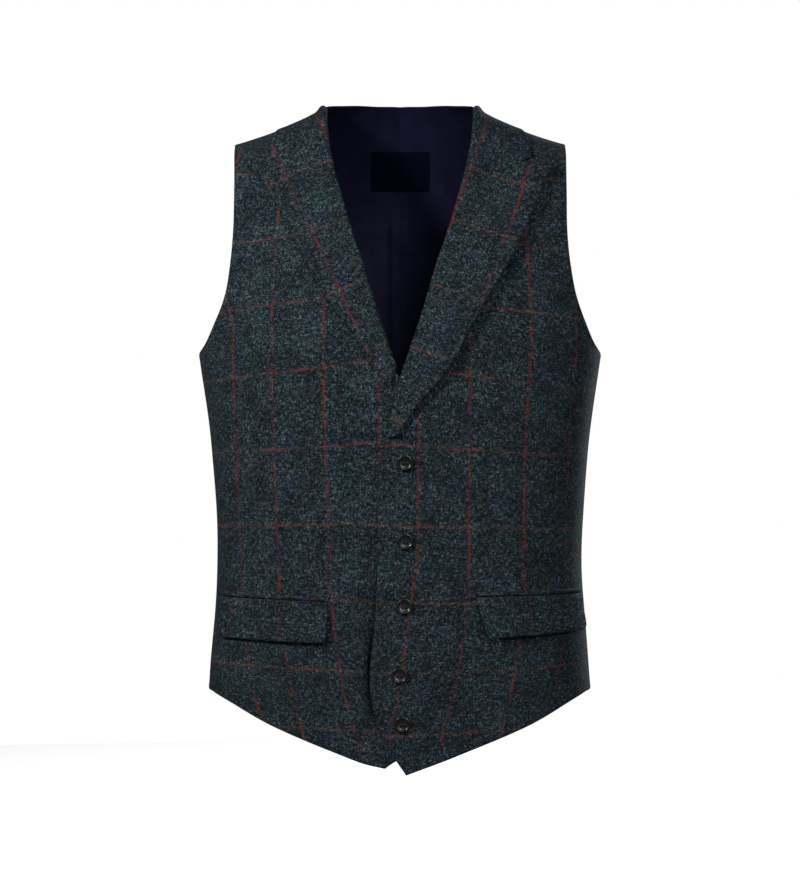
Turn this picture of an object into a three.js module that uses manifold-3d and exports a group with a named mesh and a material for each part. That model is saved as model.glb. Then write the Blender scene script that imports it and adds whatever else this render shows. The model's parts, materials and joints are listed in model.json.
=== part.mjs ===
// A single-breasted tweed waistcoat with peak lapels, five buttons and two flapped pockets.
// Millimetres, +Z up, the wearer faces -Y and the wearer's left is +X.
// The origin is the middle of the neck opening, level with the neck points of the shoulders.
import * as THREE from 'three';
import { mergeVertices } from 'three/addons/utils/BufferGeometryUtils.js';
import Module from 'manifold-3d';

const wasm = await Module();
wasm.setup();

// ---------------------------------------------------------------- driving dimensions
const UNDERARM_Z = -245;
const NECK_POINT = { x: 70.8, z: -7.5 };
const SHOULDER_TIP_X = 158.5;
const HEM_SIDE_Z = -557;
const ROW_SCALE = 241; // millimetres of height for one radian of the row angle
const SEAM_GAP = 0.004; // radians kept free on each side of a seam

// Half width, half depth at the front and half depth at the back, from the hem up to the underarm.
const GIRTH = [
  { z: -640, w: 182.5, front: 102, back: 90 },
  { z: -558, w: 177.6, front: 101, back: 84 },
  { z: -439, w: 170.4, front: 97, back: 70 },
  { z: -335, w: 175.3, front: 100, back: 80 },
  { z: -245, w: 187.5, front: 104, back: 96 },
];
const SQUARENESS = { front: 2.5, back: 2.3 };

// Layers, as [inner, outer] distances from the wearer's body.
const LINING = [0, 0.8];
const FACING = [0, 1.9];
const POCKET_BAG = [1.15, 1.5];
const CLOTH = [2.2, 4.2];
const SATIN = [1.6, 2.3];
const LABEL = [-2.1, -1.5];
const LAPEL = [5.6, 7.6];
const JET = [4.9, 5.8];
const FLAP = [6.4, 8.4];
const TAIL_STRAP = [3.1, 4.2];
const BUCKLE_STRAP = [4.7, 5.8];
const OVERLAP_LIFT = 5;

const BUTTONS = [
  { x: 4.7, z: -345 },
  { x: 5.2, z: -418.7 },
  { x: 4.1, z: -479.7 },
  { x: -0.4, z: -543.9 },
  { x: 2.4, z: -589.2 },
];
const BUTTON_RADIUS = 7.5;
const BUTTON_BACK = 10.5;
const BUTTON_THICK = 3.2;
const BUTTON_HOLE_RADIUS = 1;
const BUTTON_HOLE_PITCH = 3.4;
const THREAD_RADIUS = 0.55;
const SHANK_RADIUS = 1.3;
const SLOT = { back: 2.6, length: 19, height: 3.4 };

const POCKET = { jetHigh: 5.5, slit: 0.5, inset: 6 };
// Each pocket's ends, its slit's height at them, and the flap's depth at its inner end, middle and outer end.
const POCKET_OF = {
  left: { inner: 70.5, outer: 167, innerZ: -472, outerZ: -470, drop: [37, 36.5, 33.5] },
  right: { inner: 66.5, outer: 163, innerZ: -476.5, outerZ: -473, drop: [37, 38, 37] },
};
const BAG = { lowZ: -552, rise: 12, below: 8 };
const CINCH = { z: -432, width: 25, outer: 128, tail: 62, bar: 15, pivot: 3, frameHalf: 17, wire: 0.9 };

const TWEED = { color: 0x2b3439, roughness: 0.95, metalness: 0 };
const NAVY_SATIN = { color: 0x0c0d1e, roughness: 0.45, metalness: 0 };
const COTTON = { color: 0x10111c, roughness: 0.9, metalness: 0 };
const HORN = { color: 0x1b1412, roughness: 0.25, metalness: 0 };
const THREAD = { color: 0x15151c, roughness: 0.8, metalness: 0 };
const STEEL = { color: 0x8a8a88, roughness: 0.3, metalness: 1 };

const garment = new THREE.Group();

// ---------------------------------------------------------------- the wearer's body as a surface
function smoothStep(from, to, value) {
  const s = THREE.MathUtils.clamp((value - from) / (to - from), 0, 1);
  return s * s * (3 - 2 * s);
}

function girth(key, z) {
  const last = GIRTH.length - 1;
  if (z >= GIRTH[last].z) return GIRTH[last][key];
  const above = Math.max(1, GIRTH.findIndex((row) => row.z > z));
  const low = GIRTH[above - 1];
  const high = GIRTH[above];
  const s = THREE.MathUtils.clamp((z - low.z) / (high.z - low.z), 0, 1);
  const before = GIRTH[Math.max(0, above - 2)];
  const after = GIRTH[Math.min(last, above + 1)];
  const slopeLow = (high[key] - before[key]) / (high.z - before.z);
  // The depths run level into the rounded chest and shoulders above.
  const levelAbove = after === high && key !== 'w';
  const slopeHigh = levelAbove ? 0 : (after[key] - low[key]) / (after.z - low.z);
  const span = high.z - low.z;
  const blend = s * s * (3 - 2 * s);
  const bend = s * (1 - s) * (1 - s) * span * slopeLow - s * s * (1 - s) * span * slopeHigh;
  return low[key] + (high[key] - low[key]) * blend + bend;
}

function shoulderZ(x) {
  const out = Math.abs(x) - NECK_POINT.x;
  return NECK_POINT.z - 0.53 * out + 0.0015 * out * out;
}

function ridgeY(x) {
  return 12 - 0.07 * (Math.abs(x) - NECK_POINT.x);
}

// turn: angle round the body, 0 at the centre front and PI at the centre back, positive to +X.
// row: height, 0 at the underarm, PI/2 at the shoulder ridge, negative below the underarm.
function bodyPoint(turn, row) {
  const isFront = Math.cos(turn) >= 0;
  const n = isFront ? SQUARENESS.front : SQUARENESS.back;
  const ringZ = row < 0 ? UNDERARM_Z + ROW_SCALE * row : UNDERARM_Z;
  const halfDepth = girth(isFront ? 'front' : 'back', ringZ);
  const sine = Math.sin(turn);
  const cosine = Math.cos(turn);
  const radius = (Math.abs(sine) ** n + Math.abs(cosine) ** n) ** (-1 / n);
  const x = girth('w', ringZ) * radius * sine;
  const ringY = -halfDepth * radius * cosine;
  if (row <= 0) return new THREE.Vector3(x, ringY, ringZ);
  const ridge = ridgeY(x);
  const z = UNDERARM_Z + (shoulderZ(x) - UNDERARM_Z) * Math.sin(row);
  return new THREE.Vector3(x, ridge + (ringY - ridge) * Math.cos(row), z);
}

function bodyNormal(turn, row) {
  const step = 0.01;
  const around = bodyPoint(turn + step, row).sub(bodyPoint(turn - step, row));
  const upwards = bodyPoint(turn, row + step).sub(bodyPoint(turn, row - step));
  return around.cross(upwards).normalize();
}

function onBody(turn, row, offset) {
  return bodyPoint(turn, row).addScaledVector(bodyNormal(turn, row), offset);
}

// Finds the turn and row of a place given as seen from the front (or from the back).
function locate(x, z, side = 'front') {
  const n = SQUARENESS[side];
  const out = Math.min(1, Math.abs(x) / girth('w', Math.min(z, UNDERARM_Z)));
  const turn = Math.atan2(out, (1 - out ** n) ** (1 / n));
  const high = Math.min(1, (z - UNDERARM_Z) / (shoulderZ(x) - UNDERARM_Z));
  const row = z <= UNDERARM_Z ? (z - UNDERARM_Z) / ROW_SCALE : Math.asin(high);
  const signed = side === 'front' ? turn : Math.PI - turn;
  return new THREE.Vector2(x < 0 ? -signed : signed, row);
}

// How far the buttoning left front is carried out over the right front.
function overlapLift(turn, row) {
  const place = bodyPoint(turn, row);
  const sideways = 1 - smoothStep(36, 66, place.x);
  return OVERLAP_LIFT * sideways * (1 - smoothStep(-262, -205, place.z));
}

// ---------------------------------------------------------------- patches of cloth
function curveThrough(places) {
  const points = places.map((place) => new THREE.Vector3(place.x, place.y, 0));
  return new THREE.CatmullRomCurve3(points, false, 'centripetal');
}

function edge(knots, side = 'front') {
  const curve = curveThrough(knots.map(([x, z]) => locate(x, z, side)));
  return (s) => curve.getPointAt(THREE.MathUtils.clamp(s, 0, 1));
}

// Two edges one after the other, with the join at the given share of the whole.
function joined(lower, upper, share) {
  return (s) => (s <= share ? lower(s / share) : upper((s - share) / (1 - share)));
}

// A Coons patch: inner and outer edges run upwards, low and high edges run from inner to outer.
function patchBetween(inner, outer, low, high) {
  return (u, v) => {
    const sides = inner(v).multiplyScalar(1 - u).add(outer(v).multiplyScalar(u));
    const ends = low(u).multiplyScalar(1 - v).add(high(u).multiplyScalar(v));
    const lowCorners = inner(0).multiplyScalar(1 - u).add(outer(0).multiplyScalar(u));
    const highCorners = inner(1).multiplyScalar(1 - u).add(outer(1).multiplyScalar(u));
    const corners = lowCorners.multiplyScalar(1 - v).add(highCorners.multiplyScalar(v));
    return sides.add(ends).sub(corners);
  };
}

function straight(from, to) {
  return (s) => from.clone().lerp(to, s);
}

// Part of a patch, between two shares of its width.
function strip(patch, from, to) {
  return (u, v) => patch(from + (to - from) * u, v);
}

function steps(count) {
  return Array.from({ length: count + 1 }, (_, i) => i / count);
}

function finishSolid(positions, faces) {
  const geometry = new THREE.BufferGeometry();
  geometry.setAttribute('position', new THREE.Float32BufferAttribute(positions, 3));
  geometry.setIndex(signedVolume(positions, faces) < 0 ? faces.reverse() : faces);
  geometry.computeVertexNormals();
  return geometry;
}

function signedVolume(positions, faces) {
  const corner = (k) => new THREE.Vector3().fromArray(positions, 3 * faces[k]);
  let sum = 0;
  for (let k = 0; k < faces.length; k += 3) {
    sum += corner(k).dot(corner(k + 1).cross(corner(k + 2)));
  }
  return sum;
}

// Closed solid between two offsets of a patch, on a grid of rows and columns.
function clothSolid(patch, rows, columns, layer, lift = () => 0) {
  const positions = [];
  const us = steps(columns);
  for (const offset of layer) {
    for (const v of steps(rows)) {
      for (const u of us) {
        const place = patch(u, v);
        const point = onBody(place.x, place.y, offset + lift(place.x, place.y));
        positions.push(point.x, point.y, point.z);
      }
    }
  }
  return finishSolid(positions, gridFaces(rows, columns));
}

function gridFaces(rows, columns) {
  const width = columns + 1;
  const layerSize = width * (rows + 1);
  const faces = [];
  const quad = (a, b, c, d) => faces.push(a, b, c, a, c, d);
  const id = (row, column, layer) => layer * layerSize + row * width + column;
  for (let r = 0; r < rows; r += 1) {
    for (let c = 0; c < columns; c += 1) {
      quad(id(r, c, 1), id(r, c + 1, 1), id(r + 1, c + 1, 1), id(r + 1, c, 1));
      quad(id(r, c, 0), id(r + 1, c, 0), id(r + 1, c + 1, 0), id(r, c + 1, 0));
    }
    quad(id(r, 0, 0), id(r, 0, 1), id(r + 1, 0, 1), id(r + 1, 0, 0));
    quad(id(r, columns, 1), id(r, columns, 0), id(r + 1, columns, 0), id(r + 1, columns, 1));
  }
  for (let c = 0; c < columns; c += 1) {
    quad(id(0, c, 0), id(0, c + 1, 0), id(0, c + 1, 1), id(0, c, 1));
    quad(id(rows, c, 1), id(rows, c + 1, 1), id(rows, c + 1, 0), id(rows, c, 0));
  }
  return faces;
}

function addMesh(name, geometry, finish) {
  const mesh = new THREE.Mesh(geometry, new THREE.MeshStandardMaterial(finish));
  mesh.name = name;
  garment.add(mesh);
  return mesh;
}

// ---------------------------------------------------------------- booleans
function toManifold(geometry) {
  const bare = new THREE.BufferGeometry();
  bare.setAttribute('position', geometry.getAttribute('position'));
  if (geometry.getIndex()) bare.setIndex(geometry.getIndex());
  const merged = mergeVertices(bare, 1e-4);
  return new wasm.Manifold(new wasm.Mesh({
    numProp: 3,
    vertProperties: new Float32Array(merged.getAttribute('position').array),
    triVerts: new Uint32Array(merged.getIndex().array),
  }));
}

function fromManifold(solid) {
  const mesh = solid.getMesh();
  const geometry = new THREE.BufferGeometry();
  geometry.setAttribute('position', new THREE.Float32BufferAttribute(mesh.vertProperties, 3));
  geometry.setIndex(Array.from(mesh.triVerts));
  geometry.computeVertexNormals();
  return geometry;
}

function cutFrom(geometry, tools) {
  return fromManifold(tools.reduce((solid, tool) => solid.subtract(toManifold(tool)), toManifold(geometry)));
}

function joinAll(geometries) {
  return fromManifold(geometries.map(toManifold).reduce((solid, piece) => solid.add(piece)));
}

// ---------------------------------------------------------------- outlines, for the +X half
// The rows below the underarm reach exactly to it, so that a row of corners lies on each bend.
const FRONT_GRID = { rows: 18, rowsBelow: 9, columns: 11, facing: 3 };
const BACK_GRID = { rows: 16, rowsBelow: 7, columns: 9, neck: 4 };
const FRONT_POINT = { left: [5.6, -637], right: [-14, -631] };
const FRONT_EDGE = [[-11, -611], [-24, -576], [-28, -550], [-23, -492], [-20.5, -436], [-19.6, -352], [-12, -322]];
const ROLL_BREAK = [-12, -322];
const ROLL_LINE = [[-7, -297], [1.5, -264], [21, -206], [34, -162], [48, -120], [60, -77], [66.5, -46]];
const SIDE_SEAM_ROWS = [HEM_SIDE_Z, UNDERARM_Z];
const ARMHOLE = [[181, -233], [171.5, -211], [163.5, -189], [158.5, -162], [155.5, -130], [155.5, -90]];
const HEM = [[33.6, -626.5], [62.5, -615.5], [115, -594], [155, -572.5], [172, -563.5], [179, -559.5]];
const BACK_ARMHOLE = [[186, -240], [179, -228], [168, -205], [158, -175], [152, -135], [151, -95]];
const BACK_NECK = [[0, -2.6], [25, -2.5], [48, -2.7], [63, -4.6]];

function mirrorKnots(knots, side) {
  return side > 0 ? knots : knots.map(([x, z]) => [-x, z]);
}

function sideSeam(side, face) {
  const turn = side * (Math.PI / 2 + (face === 'front' ? -SEAM_GAP : SEAM_GAP));
  const [low, high] = SIDE_SEAM_ROWS.map((z) => (z - UNDERARM_Z) / ROW_SCALE);
  return straight(new THREE.Vector2(turn, low), new THREE.Vector2(turn, high));
}

// A curve of places that starts and ends at given (turn, row) places.
function edgeFromTo(start, knots, end, side = 'front') {
  const curve = curveThrough([start, ...knots.map(([x, z]) => locate(x, z, side)), end]);
  return (s) => curve.getPointAt(THREE.MathUtils.clamp(s, 0, 1));
}

function shoulderPlace(x, face) {
  const turn = locate(x, UNDERARM_Z, face).x;
  return new THREE.Vector2(turn, Math.PI / 2 - SEAM_GAP);
}

// Shoulder seam from the neck point outwards.
function shoulderSeam(side, face) {
  return (s) => shoulderPlace(side * THREE.MathUtils.lerp(NECK_POINT.x, SHOULDER_TIP_X, s), face);
}

function frontPatch(side) {
  const point = side > 0 ? FRONT_POINT.left : mirrorKnots([FRONT_POINT.right], -1)[0];
  const knots = mirrorKnots([point, ...FRONT_EDGE], side);
  const roll = mirrorKnots(ROLL_LINE, side);
  const neck = shoulderPlace(side * NECK_POINT.x, 'front');
  const lowInner = edge(knots);
  const highInner = edgeFromTo(lowInner(1), roll, neck);
  const lowOuter = sideSeam(side, 'front');
  const tip = shoulderPlace(side * SHOULDER_TIP_X, 'front');
  const highOuter = edgeFromTo(lowOuter(1), mirrorKnots(ARMHOLE, side), tip);
  const hem = edgeFromTo(lowInner(0), mirrorKnots(HEM, side), lowOuter(0));
  const share = FRONT_GRID.rowsBelow / FRONT_GRID.rows;
  const inner = joined(lowInner, highInner, share);
  const outer = joined(lowOuter, highOuter, share);
  return patchBetween(inner, outer, hem, shoulderSeam(side, 'front'));
}

function backPatch(side) {
  const centre = side * (Math.PI - SEAM_GAP / 2);
  const hemRow = (HEM_SIDE_Z - UNDERARM_Z) / ROW_SCALE;
  const neckRow = locate(0, BACK_NECK[0][1], 'back').y;
  const inner = straight(new THREE.Vector2(centre, hemRow), new THREE.Vector2(centre, neckRow));
  const lowOuter = sideSeam(side, 'back');
  const tip = shoulderPlace(side * SHOULDER_TIP_X, 'back');
  const armhole = mirrorKnots(BACK_ARMHOLE, side);
  const share = BACK_GRID.rowsBelow / BACK_GRID.rows;
  const outer = joined(lowOuter, edgeFromTo(lowOuter(1), armhole, tip, 'back'), share);
  const neckPoint = shoulderPlace(side * NECK_POINT.x, 'back');
  const neckline = edgeFromTo(inner(1), mirrorKnots(BACK_NECK.slice(1), side), neckPoint, 'back');
  const top = joined(neckline, shoulderSeam(side, 'back'), BACK_GRID.neck / BACK_GRID.columns);
  return patchBetween(inner, outer, straight(inner(0), lowOuter(0)), top);
}

// ---------------------------------------------------------------- fronts, facings and linings

// The frame of a button: its own +Y points away from the wearer and its +X to the wearer's left.
function buttonFrame({ x, z }, offset) {
  const place = locate(x, z);
  const outwards = bodyNormal(place.x, place.y);
  const downwards = new THREE.Vector3(1, 0, 0).cross(outwards).normalize();
  const leftwards = outwards.clone().cross(downwards);
  const frame = new THREE.Matrix4().makeBasis(leftwards, outwards, downwards);
  return frame.setPosition(onBody(place.x, place.y, offset));
}

function buttonholeCutters() {
  return BUTTONS.map((button) => {
    const slot = new THREE.BoxGeometry(SLOT.length, 40, SLOT.height);
    slot.translate(SLOT.length / 2 - SLOT.back, 0, 0);
    return slot.applyMatrix4(buttonFrame(button, CLOTH[1]));
  });
}

function addFront(side) {
  const name = side > 0 ? 'left' : 'right';
  const lift = side > 0 ? overlapLift : () => 0;
  const patch = frontPatch(side);
  const { rows, columns, facing } = FRONT_GRID;
  const share = facing / columns;
  const cutters = side > 0 ? buttonholeCutters() : [];
  const cloth = clothSolid(patch, rows, columns, CLOTH, lift);
  const turned = clothSolid(strip(patch, 0, share - 0.002), rows, facing, FACING, lift);
  const lining = clothSolid(strip(patch, share + 0.002, 1), rows, columns - facing, LINING, lift);
  addMesh(`front_${name}`, side > 0 ? cutFrom(cloth, cutters) : cloth, TWEED);
  addMesh(`facing_${name}`, side > 0 ? cutFrom(turned, cutters) : turned, TWEED);
  addMesh(`lining_front_${name}`, lining, NAVY_SATIN);
}

function addBack(side) {
  const name = side > 0 ? 'left' : 'right';
  const patch = backPatch(side);
  const { rows, columns } = BACK_GRID;
  addMesh(`back_${name}`, clothSolid(patch, rows, columns, SATIN), NAVY_SATIN);
  addMesh(`back_lining_${name}`, clothSolid(patch, rows, columns, LINING), NAVY_SATIN);
}

// ---------------------------------------------------------------- lapels and collar
const GORGE_ROLL = [59, -81];
const NOTCH = [107, -69];
const PEAK = [142, -70.5];
const COLLAR_CORNER = [122, -61.5];
const LAPEL_EDGE = {
  left: [[-2.8, -320], [16.8, -290], [41, -262], [65, -219], [101, -155], [124, -105], [134, -80]],
  right: [[10.5, -275.5], [35, -236], [65, -195], [92, -147], [115, -103], [130, -80]],
};

function addLapel(side) {
  const name = side > 0 ? 'left' : 'right';
  const lift = side > 0 ? overlapLift : () => 0;
  const rollStart = side > 0 ? ROLL_BREAK : [3.5, -256];
  const rollKnots = ROLL_LINE.filter(([, z]) => z > rollStart[1] && z < GORGE_ROLL[1] - 2);
  const inner = edge(mirrorKnots([rollStart, ...rollKnots, GORGE_ROLL], side));
  const outer = edge(mirrorKnots([...LAPEL_EDGE[name], PEAK], side));
  const gorge = edge(mirrorKnots([GORGE_ROLL, NOTCH], side));
  const top = edge(mirrorKnots([NOTCH, [126, -64], PEAK], side));
  const patch = patchBetween(inner, outer, straight(inner(0), outer(0)), joined(gorge, top, 0.6));
  addMesh(`lapel_${name}`, clothSolid(patch, 12, 4, LAPEL, lift), TWEED);
}

function addCollar(side) {
  const name = side > 0 ? 'left' : 'right';
  const raised = ([x, z]) => [x, z + 1.2];
  const rollKnots = [raised(GORGE_ROLL), [66.5, -46]];
  const inner = edgeFromTo(locate(...mirrorKnots(rollKnots, side)[0]), mirrorKnots([rollKnots[1]], side),
    shoulderPlace(side * NECK_POINT.x, 'front'));
  const corner = mirrorKnots([COLLAR_CORNER], side)[0];
  const outer = edgeFromTo(locate(...corner), mirrorKnots([[119.5, -42]], side), shoulderPlace(side * 111, 'front'));
  const low = edge(mirrorKnots([raised(GORGE_ROLL), raised(NOTCH), COLLAR_CORNER], side));
  const patch = patchBetween(inner, outer, low, straight(inner(1), outer(1)));
  addMesh(`collar_${name}`, clothSolid(patch, 6, 5, LAPEL), TWEED);
}

// ---------------------------------------------------------------- pockets
function acrossPocket(side, lowZ, highZ, inset = 0) {
  const pocket = POCKET_OF[side > 0 ? 'left' : 'right'];
  const [from, to] = [pocket.inner + inset, pocket.outer - inset];
  const level = (z) => edge(mirrorKnots([[from, z(0)], [(from + to) / 2, z(0.5)], [to, z(1)]], side));
  const low = level(lowZ);
  const high = level(highZ);
  return patchBetween(straight(low(0), high(0)), straight(low(1), high(1)), low, high);
}

function addPocket(side) {
  const name = side > 0 ? 'left' : 'right';
  const pocket = POCKET_OF[name];
  const root = (s) => pocket.innerZ + (pocket.outerZ - pocket.innerZ) * s;
  const below = (drop) => (s) => root(s) - drop;
  const jetAbove = acrossPocket(side, below(-POCKET.slit), below(-POCKET.jetHigh));
  const jetBelow = acrossPocket(side, below(POCKET.jetHigh), below(POCKET.slit));
  addMesh(`pocket_jet_upper_${name}`, clothSolid(jetAbove, 1, 8, JET), TWEED);
  addMesh(`pocket_jet_lower_${name}`, clothSolid(jetBelow, 1, 8, JET), TWEED);
  const flapFoot = (s) => root(s) - pocket.drop[2 * s];
  const flap = acrossPocket(side, flapFoot, below(POCKET.slit));
  addMesh(`pocket_flap_${name}`, clothSolid(flap, 3, 8, FLAP), TWEED);
  const bag = acrossPocket(side, (s) => BAG.lowZ + BAG.rise * s, below(BAG.below), POCKET.inset);
  addMesh(`pocket_bag_${name}`, clothSolid(bag, 4, 12, POCKET_BAG), COTTON);
}

// ---------------------------------------------------------------- buttons
function buttonGeometry() {
  const r = BUTTON_RADIUS;
  const t = BUTTON_THICK;
  const profile = [[0, 0], [r - 1.2, 0], [r, 1.1], [r - 0.1, t - 0.8], [r - 1.1, t], [r - 2.4, t - 0.5], [0, t - 0.9]];
  const blank = new THREE.LatheGeometry(profile.map(([x, y]) => new THREE.Vector2(x, y)), 20);
  const holes = [-1, 1].flatMap((sx) => [-1, 1].map((sy) => {
    const hole = new THREE.CylinderGeometry(BUTTON_HOLE_RADIUS, BUTTON_HOLE_RADIUS, 2 * t, 6);
    hole.translate(sx * BUTTON_HOLE_PITCH / 2, t / 2, sy * BUTTON_HOLE_PITCH / 2);
    return hole;
  }));
  return cutFrom(blank, holes);
}

// Shank behind the button, four passes through its holes and two stitches over its face.
function threadGeometry(shankLength) {
  const half = BUTTON_HOLE_PITCH / 2;
  const faceY = BUTTON_THICK - 0.3;
  const shank = new THREE.CylinderGeometry(SHANK_RADIUS, SHANK_RADIUS, shankLength, 8);
  shank.translate(0, -0.3 - shankLength / 2, 0);
  const spread = new THREE.BoxGeometry(2 * half + 1.1, 0.5, 2 * half + 1.1);
  spread.translate(0, -0.55, 0);
  const pieces = [shank, spread];
  for (const sx of [-1, 1]) {
    for (const sy of [-1, 1]) {
      const pass = new THREE.CylinderGeometry(THREAD_RADIUS, THREAD_RADIUS, faceY + 0.7, 5);
      pass.translate(sx * half, (faceY - 0.7) / 2, sy * half);
      pieces.push(pass);
    }
    const stitch = new THREE.BoxGeometry(0.9, 0.6, 2 * half + 0.9);
    stitch.translate(sx * half, faceY, 0);
    pieces.push(stitch);
  }
  return joinAll(pieces);
}

function addButtons() {
  const shankLength = BUTTON_BACK - 0.3 - (CLOTH[1] + 0.3);
  BUTTONS.forEach((button, index) => {
    const frame = buttonFrame(button, BUTTON_BACK);
    const pieces = [
      addMesh(`button_${index + 1}`, buttonGeometry(), HORN),
      addMesh(`button_thread_${index + 1}`, threadGeometry(shankLength), THREAD),
    ];
    for (const mesh of pieces) {
      mesh.applyMatrix4(frame);
    }
  });
}

// ---------------------------------------------------------------- label inside the back neck
const LABEL_HALF = { x: 28, z: 19 };
const LABEL_MIDDLE_Z = -62.5;

function addLabel() {
  const across = (z) => (s) => {
    const spot = locate(THREE.MathUtils.lerp(-LABEL_HALF.x, LABEL_HALF.x, s), z, 'back');
    return new THREE.Vector2(spot.x < 0 ? spot.x + 2 * Math.PI : spot.x, spot.y);
  };
  const low = across(LABEL_MIDDLE_Z - LABEL_HALF.z);
  const high = across(LABEL_MIDDLE_Z + LABEL_HALF.z);
  const patch = patchBetween(straight(low(0), high(0)), straight(low(1), high(1)), low, high);
  addMesh('neck_label', clothSolid(patch, 2, 4, LABEL), COTTON);
}

// ---------------------------------------------------------------- cinch across the back waist
const LOOP_RADIUS = 1.9;
const STRAP_THICK = BUCKLE_STRAP[1] - BUCKLE_STRAP[0];
const BAR_OFFSET = BUCKLE_STRAP[1] + LOOP_RADIUS;

const LOOP_END = CINCH.bar + 32;

function halfCircle(centre, radius) {
  return steps(6).map((s) => {
    const angle = -Math.PI / 2 - Math.PI * s;
    return new THREE.Vector2(centre.x + radius * Math.cos(angle), centre.y + radius * Math.sin(angle));
  });
}

function toPoints(pairs) {
  return pairs.map(([x, y]) => new THREE.Vector2(x, y));
}

// Flat length of strap round the back of the waist, between two distances from its middle.
function strapOnBack(fromX, toX, columns, layer) {
  const across = (z) => (s) => {
    const spot = locate(THREE.MathUtils.lerp(fromX, toX, s), z, 'back');
    return new THREE.Vector2(spot.x < 0 ? spot.x + 2 * Math.PI : spot.x, spot.y);
  };
  const low = across(CINCH.z - CINCH.width / 2);
  const high = across(CINCH.z + CINCH.width / 2);
  const patch = patchBetween(straight(low(0), high(0)), straight(low(1), high(1)), low, high);
  return clothSolid(patch, 1, columns, layer);
}

// The end of the strap that is turned back round the buckle's near bar and sewn down on itself.
function strapLoop() {
  const bar = new THREE.Vector2(CINCH.bar, BAR_OFFSET);
  const [low, high] = BUCKLE_STRAP;
  const top = high + STRAP_THICK;
  const outer = [
    ...toPoints([[LOOP_END, top], [LOOP_END, low]]),
    ...halfCircle(bar, LOOP_RADIUS + STRAP_THICK),
    ...toPoints([[bar.x + 10, high + 2.8], [bar.x + 15, top]]),
  ];
  const shape = new THREE.Shape(outer.reverse());
  const eye = [...halfCircle(bar, LOOP_RADIUS), ...toPoints([[bar.x + 9, high + 1.7], [bar.x + 13, high]])];
  shape.holes.push(new THREE.Path(eye));
  const geometry = new THREE.ExtrudeGeometry(shape, { depth: CINCH.width, bevelEnabled: false });
  const position = geometry.getAttribute('position');
  for (let i = 0; i < position.count; i += 1) {
    const place = locate(position.getX(i), CINCH.z + position.getZ(i) - CINCH.width / 2, 'back');
    const point = onBody(place.x, place.y, position.getY(i));
    position.setXYZ(i, point.x, point.y, point.z);
  }
  const merged = mergeVertices(geometry.deleteAttribute('normal').deleteAttribute('uv'), 1e-4);
  return finishSolid(Array.from(merged.getAttribute('position').array), Array.from(merged.getIndex().array));
}

function addStraps() {
  addMesh('cinch_strap_right', strapOnBack(-CINCH.outer, CINCH.tail, 20, TAIL_STRAP), NAVY_SATIN);
  const flat = strapOnBack(LOOP_END - 6, CINCH.outer, 9, BUCKLE_STRAP);
  addMesh('cinch_strap_left', joinAll([flat, strapLoop()]), NAVY_SATIN);
}

// A box of the buckle's wire, given by its middle and its length along x or z.
function wire(x, z, lengthX, lengthZ) {
  const box = new THREE.BoxGeometry(lengthX, 2 * CINCH.wire, lengthZ);
  box.translate(x, 0, z);
  return box;
}

function addBuckle() {
  const thick = 2 * CINCH.wire;
  const tall = 2 * CINCH.frameHalf;
  const wide = 2 * CINCH.bar + thick;
  const bars = [-CINCH.bar, CINCH.pivot, CINCH.bar].map((x) => wire(x, 0, thick, tall));
  const rails = [-1, 1].map((side) => wire(0, side * (CINCH.frameHalf - CINCH.wire), wide, thick));
  const frame = addMesh('cinch_buckle_frame', joinAll([...bars, ...rails]), STEEL);
  const prong = addMesh('cinch_buckle_prongs', prongGeometry(), STEEL);
  const seat = locate(CINCH.bar, CINCH.z, 'back');
  const y = onBody(seat.x, seat.y, BAR_OFFSET).y;
  frame.position.set(0, y, CINCH.z);
  prong.position.set(CINCH.pivot, y, CINCH.z);
}

// A sleeve round the buckle's middle bar with two tongues that rest on its far bar.
function prongGeometry() {
  const sleeveShape = new THREE.Shape().absarc(0, 0, 2.2, 0, 2 * Math.PI);
  sleeveShape.holes.push(new THREE.Path().absarc(0, 0, 1.4, 0, 2 * Math.PI, true));
  const sleeve = new THREE.ExtrudeGeometry(sleeveShape, { depth: 16, bevelEnabled: false, curveSegments: 8 });
  sleeve.translate(0, 0, -8);
  const tongues = [-5, 5].map((z) => {
    const tongue = new THREE.BoxGeometry(19.5, 0.7, 2.2);
    tongue.translate(-19.5 / 2, 1.8, z);
    return tongue;
  });
  return joinAll([sleeve, ...tongues]);
}

// ---------------------------------------------------------------- the whole garment
for (const side of [1, -1]) {
  addFront(side);
  addBack(side);
  addLapel(side);
  addCollar(side);
  addPocket(side);
}
addButtons();
addLabel();
addStraps();
addBuckle();

export default garment;
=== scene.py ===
"""Looks of the tweed waistcoat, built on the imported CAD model. Lengths in this file are in millimetres."""
import json
import math

import bmesh
import bpy
import numpy as np
from mathutils import Matrix, Vector


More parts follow.
